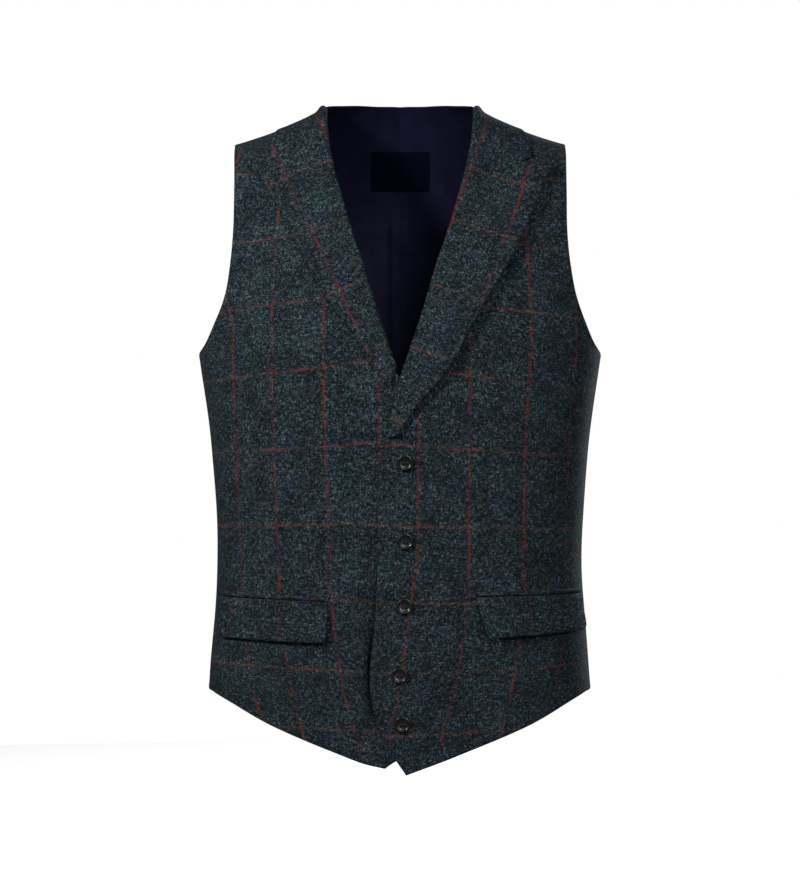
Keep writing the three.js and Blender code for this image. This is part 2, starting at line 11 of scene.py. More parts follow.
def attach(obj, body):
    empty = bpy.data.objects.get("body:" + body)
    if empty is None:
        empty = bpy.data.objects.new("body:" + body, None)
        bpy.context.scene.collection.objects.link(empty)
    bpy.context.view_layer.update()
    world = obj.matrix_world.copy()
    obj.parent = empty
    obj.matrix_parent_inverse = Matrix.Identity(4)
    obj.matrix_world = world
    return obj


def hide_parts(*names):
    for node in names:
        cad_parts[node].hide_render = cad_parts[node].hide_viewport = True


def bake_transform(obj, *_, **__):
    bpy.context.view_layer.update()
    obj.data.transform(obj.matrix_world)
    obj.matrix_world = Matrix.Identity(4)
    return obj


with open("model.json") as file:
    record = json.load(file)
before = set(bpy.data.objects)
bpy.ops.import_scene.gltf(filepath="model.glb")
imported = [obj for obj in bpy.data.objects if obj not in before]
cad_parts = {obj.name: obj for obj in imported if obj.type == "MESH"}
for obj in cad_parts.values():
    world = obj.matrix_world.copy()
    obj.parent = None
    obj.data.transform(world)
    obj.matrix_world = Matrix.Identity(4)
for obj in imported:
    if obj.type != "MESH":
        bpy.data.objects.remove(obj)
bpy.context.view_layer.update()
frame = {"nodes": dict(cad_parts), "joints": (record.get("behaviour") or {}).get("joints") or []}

MM = 0.001
FINE = "_fine"  # a piece is named after the CAD node that it stands for
SIDES = {"left": 1, "right": -1}

# ------------------------------------------------------------------ the wearer's body
UNDERARM_Z = -245.0
NECK_X, NECK_Z = 70.8, -7.5
SHOULDER_TIP_X = 158.5
HEM_SIDE_Z = -557.0
ROW_SCALE = 241.0
SEAM_LAP = 0.004  # radians that two sheets share at a seam round the body
SHOULDER_LAP = 0.010
GIRTH = np.array([
    [-640, 182.5, 102, 90],
    [-558, 177.6, 101, 84],
    [-439, 170.4, 97, 70],
    [-335, 175.3, 100, 80],
    [-245, 187.5, 104, 96],
], float)
WIDE, FRONT_DEPTH, BACK_DEPTH = 1, 2, 3
SQUARENESS = {"front": 2.5, "back": 2.3}
OVERLAP_LIFT = 5.0
SHOULDER_SINK = 3.6

BUTTONS = [(4.7, -345), (5.2, -418.7), (4.1, -479.7), (-0.4, -543.9), (2.4, -589.2)]
BUTTON_BACK = 10.5


def smooth(low, high, value):
    share = np.clip((value - low) / (high - low), 0, 1)
    return share * share * (3 - 2 * share)


def bell(value, middle, width):
    return np.exp(-(((value - middle) / width) ** 2))


def girth(column, z):
    knots, values = GIRTH[:, 0], GIRTH[:, column]
    slopes = np.empty(len(knots))
    slopes[1:-1] = (values[2:] - values[:-2]) / (knots[2:] - knots[:-2])
    slopes[0] = (values[1] - values[0]) / (knots[1] - knots[0])
    slopes[-1] = (values[-1] - values[-2]) / (knots[-1] - knots[-2]) if column == WIDE else 0
    z = np.clip(z, knots[0], knots[-1])
    low = np.clip(np.searchsorted(knots, z, side="right") - 1, 0, len(knots) - 2)
    span = knots[low + 1] - knots[low]
    s = (z - knots[low]) / span
    blend = s * s * (3 - 2 * s)
    bend = s * (1 - s) ** 2 * span * slopes[low] - s * s * (1 - s) * span * slopes[low + 1]
    return values[low] + (values[low + 1] - values[low]) * blend + bend


def shoulder_z(x):
    out = np.abs(x) - NECK_X
    return NECK_Z - 0.53 * out + 0.0015 * out * out


def body_point(turn, row):
    """turn: angle round the body from the centre front. row: height, 0 at the underarm, pi/2 at the shoulder."""
    turn, row = np.broadcast_arrays(np.asarray(turn, float), np.asarray(row, float))
    front = np.cos(turn) >= 0
    n = np.where(front, SQUARENESS["front"], SQUARENESS["back"])
    ring_z = np.where(row < 0, UNDERARM_Z + ROW_SCALE * row, UNDERARM_Z)
    depth = np.where(front, girth(FRONT_DEPTH, ring_z), girth(BACK_DEPTH, ring_z))
    sine, cosine = np.sin(turn), np.cos(turn)
    radius = (np.abs(sine) ** n + np.abs(cosine) ** n) ** (-1 / n)
    x = girth(WIDE, ring_z) * radius * sine
    ring_y = -depth * radius * cosine
    ridge = 12 - 0.07 * (np.abs(x) - NECK_X)
    up = np.maximum(row, 0)
    z = np.where(row > 0, UNDERARM_Z + (shoulder_z(x) - UNDERARM_Z) * np.sin(up), ring_z)
    y = np.where(row > 0, ridge + (ring_y - ridge) * np.cos(up), ring_y)
    return np.stack([x, y, z], -1)


def bare_body(place):
    return body_point(place[..., 0], place[..., 1])


def unit(vectors):
    return vectors / np.maximum(np.linalg.norm(vectors, axis=-1, keepdims=True), 1e-9)


def body_normal(turn, row):
    step = 0.01
    around = body_point(turn + step, row) - body_point(turn - step, row)
    upwards = body_point(turn, row + step) - body_point(turn, row - step)
    return unit(np.cross(around, upwards))


def shoulder_sink(point, row):
    """How far the layers are pressed together and down towards the shoulder seam."""
    return SHOULDER_SINK * smooth(1.15, 1.5, row) * (0.62 + 0.38 * smooth(72, 90, np.abs(point[..., 0])))


def on_body(place, offset):
    turn, row = place[..., 0], place[..., 1]
    point = body_point(turn, row)
    height = np.asarray(offset) - shoulder_sink(point, row)
    return point + body_normal(turn, row) * height[..., None]


def locate(x, z, face="front"):
    """The (turn, row) of a place seen from the front or the back."""
    x, z = np.broadcast_arrays(np.asarray(x, float), np.asarray(z, float))
    n = SQUARENESS[face]
    out = np.minimum(1, np.abs(x) / girth(WIDE, np.minimum(z, UNDERARM_Z)))
    turn = np.arctan2(out, (1 - out ** n) ** (1 / n))
    high = np.clip((z - UNDERARM_Z) / (shoulder_z(x) - UNDERARM_Z), 0, 1)
    row = np.where(z <= UNDERARM_Z, (z - UNDERARM_Z) / ROW_SCALE, np.arcsin(high))
    turn = turn if face == "front" else np.pi - turn
    return np.stack([np.where(x < 0, -turn, turn), row], -1)


def overlap_lift(place):
    """How far the left front is carried out over the right front."""
    point = bare_body(place)
    sideways = 1 - smooth(36, 66, point[..., 0])
    return OVERLAP_LIFT * sideways * (1 - smooth(-262, -205, point[..., 2]))


def no_lift(place):
    return np.zeros(place.shape[:-1])


# ------------------------------------------------------------------ curves and patches in (turn, row)
def curve_through(places):
    """A centripetal Catmull-Rom curve by share of its length."""
    p = np.asarray(places, float)
    p = np.vstack([2 * p[0] - p[1], p, 2 * p[-1] - p[-2]])
    t = np.linspace(0, 1, 33)[:, None]
    runs = []
    for a, b, c, d in zip(p, p[1:], p[2:], p[3:]):
        da, db, dc = (max(1e-4, np.linalg.norm(q)) ** 0.5 for q in (b - a, c - b, d - c))
        start = ((b - a) / da - (c - a) / (da + db) + (c - b) / db) * db
        end = ((c - b) / db - (d - b) / (db + dc) + (d - c) / dc) * db
        run = b + start * t + (-3 * b + 3 * c - 2 * start - end) * t ** 2
        runs.append((run + (2 * b - 2 * c + start + end) * t ** 3)[:-1])
    line = np.vstack(runs + [p[-2:-1]])
    walked = np.concatenate([[0], np.cumsum(np.linalg.norm(np.diff(line, axis=0), axis=1))])
    walked /= walked[-1]
    return lambda s: np.stack([np.interp(s, walked, line[:, k]) for k in (0, 1)], -1)


def spots(knots, face="front"):
    x, z = np.array(knots, float).T
    return locate(x, z, face)


def edge(knots, face="front"):
    return curve_through(spots(knots, face))


def edge_from_to(start, knots, end, face="front"):
    return curve_through(np.vstack([start, spots(knots, face), end]))


def straight(start, end):
    start, end = np.asarray(start, float), np.asarray(end, float)
    return lambda s: start + (end - start) * np.asarray(s, float)[..., None]


def joined(lower, upper, share):
    def both(s):
        s = np.asarray(s, float)
        first = lower(np.clip(s / share, 0, 1))
        second = upper(np.clip((s - share) / (1 - share), 0, 1))
        return np.where((s <= share)[..., None], first, second)
    return both


def patch_between(inner, outer, low, high):
    """A Coons patch: inner and outer run upwards, low and high run from inner to outer."""
    zero, one = np.zeros(()), np.ones(())
    corner = [inner(zero), outer(zero), inner(one), outer(one)]

    def patch(u, v):
        a, b = u[..., None], v[..., None]
        u, v = np.clip(u, 0, 1), np.clip(v, 0, 1)
        sides = inner(v) * (1 - a) + outer(v) * a
        ends = low(u) * (1 - b) + high(u) * b
        lows = corner[0] * (1 - a) + corner[1] * a
        highs = corner[2] * (1 - a) + corner[3] * a
        return sides + ends - lows * (1 - b) - highs * b
    return patch


def strip(patch, low, high):
    return lambda u, v: patch(low + (high - low) * u, v)


def mirror(knots, side):
    return [(side * x, z) for x, z in knots]


# ------------------------------------------------------------------ outlines, given for the wearer's left
FRONT_ROWS, FRONT_ROWS_BELOW = 18, 9
FACING_SHARE, FACING_GAP = 3 / 11, 0.001
BACK_ROWS, BACK_ROWS_BELOW = 16, 7
FRONT_POINT = {"left": (5.6, -637), "right": (-14, -631)}
FRONT_EDGE = [(-11, -611), (-24, -576), (-28, -550), (-23, -492), (-20.5, -436), (-19.6, -352), (-12, -322)]
ROLL_BREAK = (-12, -322)
ROLL_LINE = [(-7, -297), (1.5, -264), (21, -206), (34, -162), (48, -120), (60, -77), (66.5, -46)]
ARMHOLE = [(181, -233), (171.5, -211), (163.5, -189), (158.5, -162), (155.5, -130), (155.5, -90)]
HEM = [(33.6, -626.5), (62.5, -615.5), (115, -594), (155, -572.5), (172, -563.5), (179, -559.5)]
BACK_ARMHOLE = [(186, -240), (179, -228), (168, -205), (158, -175), (152, -135), (151, -95)]
BACK_NECK = [(0, -2.6), (25, -2.5), (48, -2.7), (63, -4.6)]
GORGE_ROLL, NOTCH, PEAK, COLLAR_CORNER = (59, -81), (107, -69), (142, -70.5), (122, -60.7)
LAPEL_EDGE = {
    "left": [(-2.8, -320), (16.8, -290), (41, -262), (65, -219), (101, -155), (124, -105), (134, -80)],
    "right": [(10.5, -275.5), (35, -236), (65, -195), (92, -147), (115, -103), (130, -80)],
}
LAPEL_START = {"left": ROLL_BREAK, "right": (3.5, -256)}


def side_seam(side, face):
    turn = side * (np.pi / 2 + (SEAM_LAP if face == "front" else -SEAM_LAP))
    return straight((turn, (HEM_SIDE_Z - UNDERARM_Z) / ROW_SCALE), (turn, 0))


def shoulder_place(x, face):
    turn = locate(x, UNDERARM_Z, face)[..., 0]
    return np.stack([turn, np.full(turn.shape, np.pi / 2 + SHOULDER_LAP)], -1)


def shoulder_seam(side, face):
    return lambda s: shoulder_place(side * (NECK_X + (SHOULDER_TIP_X - NECK_X) * np.asarray(s, float)), face)


def front_patch(name):
    side = SIDES[name]
    # The front edge is drawn for the left front; the right one's is its mirror image.
    point = FRONT_POINT[name] if side > 0 else (-FRONT_POINT[name][0], FRONT_POINT[name][1])
    low_inner = edge(mirror([point] + FRONT_EDGE, side))
    neck = shoulder_place(side * NECK_X, "front")
    high_inner = edge_from_to(low_inner(np.ones(())), mirror(ROLL_LINE, side), neck)
    low_outer = side_seam(side, "front")
    tip = shoulder_place(side * SHOULDER_TIP_X, "front")
    high_outer = edge_from_to(low_outer(1.0), mirror(ARMHOLE, side), tip)
    hem = edge_from_to(low_inner(np.zeros(())), mirror(HEM, side), low_outer(0.0))
    share = FRONT_ROWS_BELOW / FRONT_ROWS
    inner, outer = joined(low_inner, high_inner, share), joined(low_outer, high_outer, share)
    return patch_between(inner, outer, hem, shoulder_seam(side, "front"))


def back_patch(name):
    side = SIDES[name]
    centre = side * (np.pi + SEAM_LAP)
    neck_row = float(locate(0, BACK_NECK[0][1], "back")[1])
    inner = straight((centre, (HEM_SIDE_Z - UNDERARM_Z) / ROW_SCALE), (centre, neck_row))
    low_outer = side_seam(side, "back")
    tip = shoulder_place(side * SHOULDER_TIP_X, "back")
    high_outer = edge_from_to(low_outer(1.0), mirror(BACK_ARMHOLE, side), tip, "back")
    outer = joined(low_outer, high_outer, BACK_ROWS_BELOW / BACK_ROWS)
    neck = shoulder_place(side * NECK_X, "back")
    neckline = edge_from_to(inner(1.0), mirror(BACK_NECK[1:], side), neck, "back")
    top = joined(neckline, shoulder_seam(side, "back"), 4 / 9)
    return patch_between(inner, outer, straight(inner(0.0), low_outer(0.0)), top)


# ------------------------------------------------------------------ where the woven check falls
CHECK_ACROSS, CHECK_UP = 50.5, 69.0
LINES_ROUND = {"left": [17, 64, 117, 165], "right": [18, 68, 117.5, 158]}
LINES_UP_Z = {
    "left": [-595.5, -539, -477, -407, -335.5, -268, -202.5, -141],
    "right": [-593, -538, -475, -404, -332, -259.5, -196, -134],
}
# How far the upright lines run in towards the centre at each height.
INWARD = np.array([[-625, 29], [-603, 24], [-586, 19], [-568, 13.5], [-540, 8], [-513, 4], [-470, 0]])
LEAN = {"left": 1.5, "right": 7.0}
EASED = {"left": (6.5, -330, -225, 92, 125), "right": (10.0, -225, -185, 108, 165)}
# How much a line across rises towards the centre, per mm, at each height.
DROOP = np.array([[-541, -0.04], [-476, 0], [-406, 0.03], [-331, 0.07], [-268, 0.12], [-145, 0.12]])
LAPEL_TURN = {"left": 19, "right": 25}
LAPEL_ACROSS = {"left": [84.5, 135.5], "right": [78.5, 129.0]}
LAPEL_UP = {"left": [-221.2, -160.9, -97.8, -47.5], "right": [-207, -145, -86, -30]}


def walked(turns, rows):
    """Length along the body's surface over the last axis."""
    points = body_point(turns, rows)
    return np.linalg.norm(np.diff(points, axis=-2), axis=-1).sum(-1)


def length_round(place):
    share = np.linspace(0, 1, 17)
    turn, row = place[..., 0:1], place[..., 1:2]
    return walked(turn * share, row + 0 * share)


def length_up(place):
    share = np.linspace(0, 1, 17)
    turn, row = place[..., 0:1], place[..., 1:2]
    return np.sign(place[..., 1]) * walked(turn + 0 * share, row * share)


def matched(value, lines, pitch):
    """Moves measured line positions to whole multiples of the check's pitch, evenly beyond them."""
    lines = np.asarray(lines, float)
    knots = np.concatenate([[lines[0] - 10 * pitch], lines, [lines[-1] + 10 * pitch]])
    targets = pitch * np.concatenate([[-10], np.arange(len(lines)), [len(lines) + 9]])
    return np.interp(value, knots, targets)


def front_cloth(name):
    side = SIDES[name]
    lines_up = length_up(locate(side * 100.0, np.array(LINES_UP_Z[name], float)))

    def cloth(place, point):
        x, z = side * point[..., 0], point[..., 2]
        inward = np.interp(z, INWARD[:, 0], INWARD[:, 1]) * (1 + 0.3 * smooth(90, 150, x))
        inward = inward + LEAN[name] * (smooth(-250, -520, z) - 0.35)
        inward = inward + 5.5 * smooth(-425, -485, z) * smooth(-625, -560, z) * (1 - smooth(22, 60, x)) * (side > 0)
        # Beside the armholes the chest is eased, so the lines there lie further out.
        eased, low, high, near, far = EASED[name]
        inward = inward - eased * smooth(low, high, z) * smooth(near, far, x)
        round_it = length_round(place) * np.sign(side * place[..., 0]) + inward
        across = matched(round_it, LINES_ROUND[name], CHECK_ACROSS)
        droop = np.interp(z, DROOP[:, 0], DROOP[:, 1]) * (np.abs(x) - 100)
        return np.stack([side * across, matched(length_up(place) + droop, lines_up, CHECK_UP)], -1)
    return cloth


def lapel_cloth(name):
    side = SIDES[name]
    angle = math.radians(LAPEL_TURN[name])

    def cloth(place, point):
        x, z = side * point[..., 0], point[..., 2]
        across = x * math.cos(angle) - z * math.sin(angle)
        up = x * math.sin(angle) + z * math.cos(angle)
        across = matched(across, LAPEL_ACROSS[name], CHECK_ACROSS)
        return np.stack([side * across, matched(up, LAPEL_UP[name], CHECK_UP)], -1)
    return cloth


def plain_cloth(place, point):
    across = length_round(place) * np.sign(place[..., 0])
    return np.stack([across, length_up(place)], -1)


# ------------------------------------------------------------------ soft relief of each face, in mm along the normal
def front_relief(name, under=True):
    """under: with the hollows beneath what lies on the front."""
    side = SIDES[name]

    def relief(point):
        x, z = side * point[..., 0], point[..., 2]
        broad = 0.9 * np.sin(x / 31 + z / 83 + side) * np.sin(z / 57 - x / 90 + 2 * side)
        broad = broad + 0.5 * np.sin(x / 17 - z / 41) * np.sin(z / 29 + 1.7 * side)
        # Shallow drag folds from the closed waist towards the underarm and the hip.
        drag = np.sin((0.62 * x + 0.78 * z) / 13.5 + side)
        up = bell(x, 95, 45) * bell(z, -300, 60)
        drag2 = np.sin((0.55 * x - 0.83 * z) / 12.0)
        down = bell(x, 80, 40) * bell(z, -520, 45)
        # The chest stands a little off beside the lapel.
        chest = 2.6 * bell(x, 74, 26) * bell(z, -262, 62)
        made = broad + 0.7 * drag * up + 0.6 * drag2 * down + chest
        near_closing = 1 - smooth(22, 48, x)
        near_seam = smooth(186, 168, np.abs(x))
        made = made * (1 - 0.85 * near_closing) * near_seam * smooth(-12, -60, z)
        if side > 0:
            # The front sinks beside the flap's inner end.
            wall = 63.5 - 0.28 * (z + 472)
            sunk = 3.8 * smooth(wall, wall + 6, x) * smooth(98, 88, x) * bell(z, -491, 15) if under else 0
            # The edge of the overlapping front stands up a little over the lower buttons.
            return made + 3.2 * smooth(-4, -26, x) * bell(z, -525, 75) - sunk
        # The front beneath dips in along that edge, and hollows beside its own lapel.
        hollow = 4.6 * bell(x, 46, 14) * bell(z, -238, 44) if under else 0
        depth = (3.4 + 9.0 * bell(z, -538, 44)) * smooth(-385, -450, z) * smooth(-618, -585, z)
        return made - depth * smooth(35, 23, x) * smooth(-4, 14, x) - hollow
    return relief


def back_relief(point):
    x, z = point[..., 0], point[..., 2]
    broad = 0.8 * np.sin(x / 26 + 0.6) * np.sin(z / 60)
    # The cinch gathers the waist into upright folds, deepest beside the buckle.
    folds = np.sin(x / 4.6 + 0.5 * np.sin(z / 21)) * bell(np.abs(x), 62, 24)
    gather = 2.0 * folds * bell(z, -432, 66)
    pull = 1.3 * np.sin(x / 11 + z / 38) * bell(z, -335, 60) * bell(np.abs(x), 90, 45)
    made = broad + gather + pull
    quiet = smooth(16, 42, np.abs(x)) + (1 - bell(z, -432, 28))
    near_seam = smooth(180, 160, np.abs(x)) * smooth(4, 14, np.abs(x))
    made = made * np.clip(quiet, 0, 1) * near_seam * smooth(-5, -50, z) * smooth(-557, -535, z)
    return made + neck_rise(point)


def neck_rise(point):
    """The back neck's corners stand as high as its middle."""
    return 2.4 * bell(np.abs(point[..., 0]), 70, 12) * smooth(-24, -8, point[..., 2])


def lining_relief(point):
    """The back lining's centre pleat and its slack, towards the wearer."""
    x, z = point[..., 0], point[..., 2]
    pleat = -2.2 * (1 - smooth(7.0, 10.5, np.abs(x + 1))) * smooth(-96, -125, z)
    slack = -0.9 * bell(np.abs(x), 34, 15) * (1 + np.sin(z / 33 + x / 9)) * smooth(-96, -150, z)
    ripple = -0.5 * (1 + np.sin(x / 6.5 + z / 90)) * smooth(-100, -160, z) * smooth(150, 90, np.abs(x))
    return (pleat + slack + ripple) * smooth(-557, -520, z) + neck_rise(point)


def flat_relief(point):
    return np.zeros(point.shape[:-1])


# ------------------------------------------------------------------ closed sheets
RIM_STEPS = np.array([0, 0.1, 0.3, 0.62, 1.0])  # shares of the rim's width at which it has points


def crowded(lengths, count, rim):
    """Shares along lines of the given lengths, crowded at both ends, where the rim is rounded."""
    near = RIM_STEPS * rim / np.asarray(lengths)[:, None]
    far = 1 - near[:, ::-1]
    middle = np.linspace(0, 1, count + 1)[1:-1]
    return np.hstack([near, near[:, -1:] + (far[:, :1] - near[:, -1:]) * middle, far])


def line_lengths(patch, count, along_u):
    """The lengths in mm of lines across (or up) a patch."""
    fixed = np.linspace(0, 1, count)[:, None] + np.zeros(33)
    moving = np.linspace(0, 1, 33) + np.zeros((count, 1))
    place = patch(moving, fixed) if along_u else patch(fixed, moving)
    return np.maximum(3.0, np.linalg.norm(np.diff(bare_body(place), axis=1), axis=-1).sum(1))


def grid_on(patch, pitch, rim):
    """Shares u and v of a fine grid over a patch, and each grid point's distance from the border."""
    widths, heights = line_lengths(patch, 33, True), line_lengths(patch, 33, False)
    columns = max(2, int(round(widths.max() / pitch)))
    rows = max(2, int(round(heights.max() / pitch)))
    v_mean = crowded([heights.mean()], rows, rim)[0]
    u_mean = crowded([widths.mean()], columns, rim)[0]
    shares = np.linspace(0, 1, 33)
    width = np.interp(v_mean, shares, widths)
    height = np.interp(u_mean, shares, heights)
    u = crowded(width, columns, rim)
    v = crowded(height, rows, rim).T
    across = np.minimum(u, 1 - u) * width[:, None]
    upwards = np.minimum(v, 1 - v) * height[None, :]
    return u, v, across, upwards


def grid_normals(points):
    across = np.empty_like(points)
    across[:, 1:-1] = points[:, 2:] - points[:, :-2]
    across[:, 0], across[:, -1] = points[:, 1] - points[:, 0], points[:, -1] - points[:, -2]
    upwards = np.empty_like(points)
    upwards[1:-1] = points[2:] - points[:-2]
    upwards[0], upwards[-1] = points[1] - points[0], points[-1] - points[-2]
    return unit(np.cross(across, upwards))


middles = {}  # the middle surface of each sheet, by its name


def shell(name, middle, normal, half, cloth, material):
    """A closed sheet on a grid: the border points are shared by both faces."""
    middles[name] = middle
    rows, columns = middle.shape[:2]
    half = half[..., None]
    outer = (middle + normal * half).reshape(-1, 3)
    inner = (middle - normal * half)[1:-1, 1:-1].reshape(-1, 3)
    front = np.arange(rows * columns).reshape(rows, columns)
    behind = front.copy()
    behind[1:-1, 1:-1] = rows * columns + np.arange(len(inner)).reshape(rows - 2, columns - 2)
    quads = [front[:-1, :-1], front[:-1, 1:], front[1:, 1:], front[1:, :-1]]
    back_quads = [behind[:-1, :-1], behind[1:, :-1], behind[1:, 1:], behind[:-1, 1:]]
    faces = np.concatenate([np.stack(q, -1).reshape(-1, 4) for q in (quads, back_quads)])
    vertices = np.concatenate([outer, inner]) * MM
    shares = np.concatenate([cloth.reshape(-1, 2), cloth[1:-1, 1:-1].reshape(-1, 2)]) * MM
    return add_mesh(name, vertices, faces.tolist(), material, shares)


def add_mesh(name, vertices, faces, material, cloth=None):
    """A smooth-shaded mesh in metres. cloth: each vertex's place on the cloth, for a sheet of quads."""
    name = name + FINE if name in frame["nodes"] else name
    mesh = bpy.data.meshes.new(name)
    mesh.from_pydata(vertices.tolist(), [], faces)
    if cloth is not None:
        corner = vertices[np.array(faces)]
        volume = (corner[:, 0] * np.cross(corner[:, 1], corner[:, 2])).sum()
        volume += (corner[:, 0] * np.cross(corner[:, 2], corner[:, 3])).sum()
        if volume < 0:
            mesh.flip_normals()
        layer = mesh.uv_layers.new(name="cloth")
        loops = np.empty(len(mesh.loops), np.int32)
        mesh.loops.foreach_get("vertex_index", loops)
        layer.data.foreach_set("uv", cloth[loops].astype(np.float32).ravel())
    mesh.polygons.foreach_set("use_smooth", [True] * len(mesh.polygons))
    mesh.materials.append(material)
    mesh.update()
    thing = bpy.data.objects.new(name, mesh)
    bpy.context.scene.collection.objects.link(thing)
    return thing


def rounded(distance, half, rim):
    """Half thickness near a rim, as a round edge."""
    inside = np.clip(distance / rim, 0, 1)
    return half * np.sqrt(np.maximum(0, 1 - (1 - inside) ** 2))


def sheet_on(name, patch, layer, cloth, relief, material, lift=no_lift, pitch=3.0, rim=1.3, swell=0.0):
    """A closed sheet that lies on the body between two offsets."""
    u, v, across, upwards = grid_on(patch, pitch, rim)
    place = patch(u, v)
    bare = bare_body(place)
    distance = np.minimum(across, upwards)
    middle = (layer[0] + layer[1]) / 2 + lift(place) + relief(bare)
    middle = middle + swell * bell(distance, 2.6, 2.2)
    half = rounded(distance, (layer[1] - layer[0]) / 2, rim)
    normal = body_normal(place[..., 0], place[..., 1])
    return shell(name, on_body(place, middle), normal, half, cloth(place, bare), material)


def curve_length(curve, count):
    return np.linalg.norm(np.diff(curve(np.linspace(0, 1, count)), axis=0), axis=1).sum()


def crowd_path(path, pitch, rim):
    """A smooth path through (cross, offset) points, sampled at a pitch and crowded at both ends."""
    curve = curve_through(path)
    length = curve_length(curve, 400)
    return curve(crowded([length], max(2, int(round(length / pitch))), rim)[0])


def border_distance(points):
    """Each grid point's distance to the nearest border, walked along the grid's lines."""
    found = []
    for axis in (0, 1):
        steps = np.linalg.norm(np.diff(points, axis=axis), axis=-1)
        done = np.concatenate([np.zeros_like(np.take(steps, [0], axis)), np.cumsum(steps, axis)], axis)
        total = np.take(done, [-1], axis)
        found.append(np.minimum(done, total - done))
    return np.minimum(*found)


def ribbon(name, place, offset, relief, half, cloth, material, rim=1.3, swell=0.0):
    """A closed sheet on its own folded path: place and offset are given for each grid point."""
    bare = bare_body(place)
    points = on_body(place, offset + relief(bare))
    distance = border_distance(points)
    normal = grid_normals(points)
    thick = rounded(distance, half, rim) * (1 + swell * bell(distance, 2.6, 2.0))
    return shell(name, points, normal, thick, cloth(place, bare), material)


def tubes(name, paths, radius, material, sides=6, closed=False, outwards=None, taper=None):
    """Round tubes along paths in mm, as one mesh of closed bodies."""
    vertices, faces = [], []
    for number, path in enumerate(paths):
        path = np.asarray(path, float)
        count = len(path)
        if closed:
            tangent = unit(np.roll(path, -1, 0) - np.roll(path, 1, 0))
        else:
            tangent = unit(np.gradient(path, axis=0))
        hint = np.asarray(outwards[number] if outwards is not None else (0.31, 0.2, 0.93), float)
        first = unit(hint - tangent * (tangent @ hint)[:, None])
        second = np.cross(tangent, first)
        angle = np.linspace(0, 2 * np.pi, sides, endpoint=False)
        size = radius * (np.ones(count) if taper is None else np.asarray(taper))
        ring = first[:, None] * np.cos(angle)[:, None] + second[:, None] * np.sin(angle)[:, None]
        base = sum(len(v) for v in vertices)
        vertices.append((path[:, None] + ring * size[:, None, None]).reshape(-1, 3))
        for i in range(count if closed else count - 1):
            for k in range(sides):
                a, b = i * sides + k, i * sides + (k + 1) % sides
                step = sides if i + 1 < count else -i * sides
                faces.append([base + a, base + b, base + b + step, base + a + step])
        if not closed:
            faces.append([base + k for k in reversed(range(sides))])
            faces.append([base + (count - 1) * sides + k for k in range(sides)])
    return add_mesh(name, np.concatenate(vertices) * MM, faces, material)


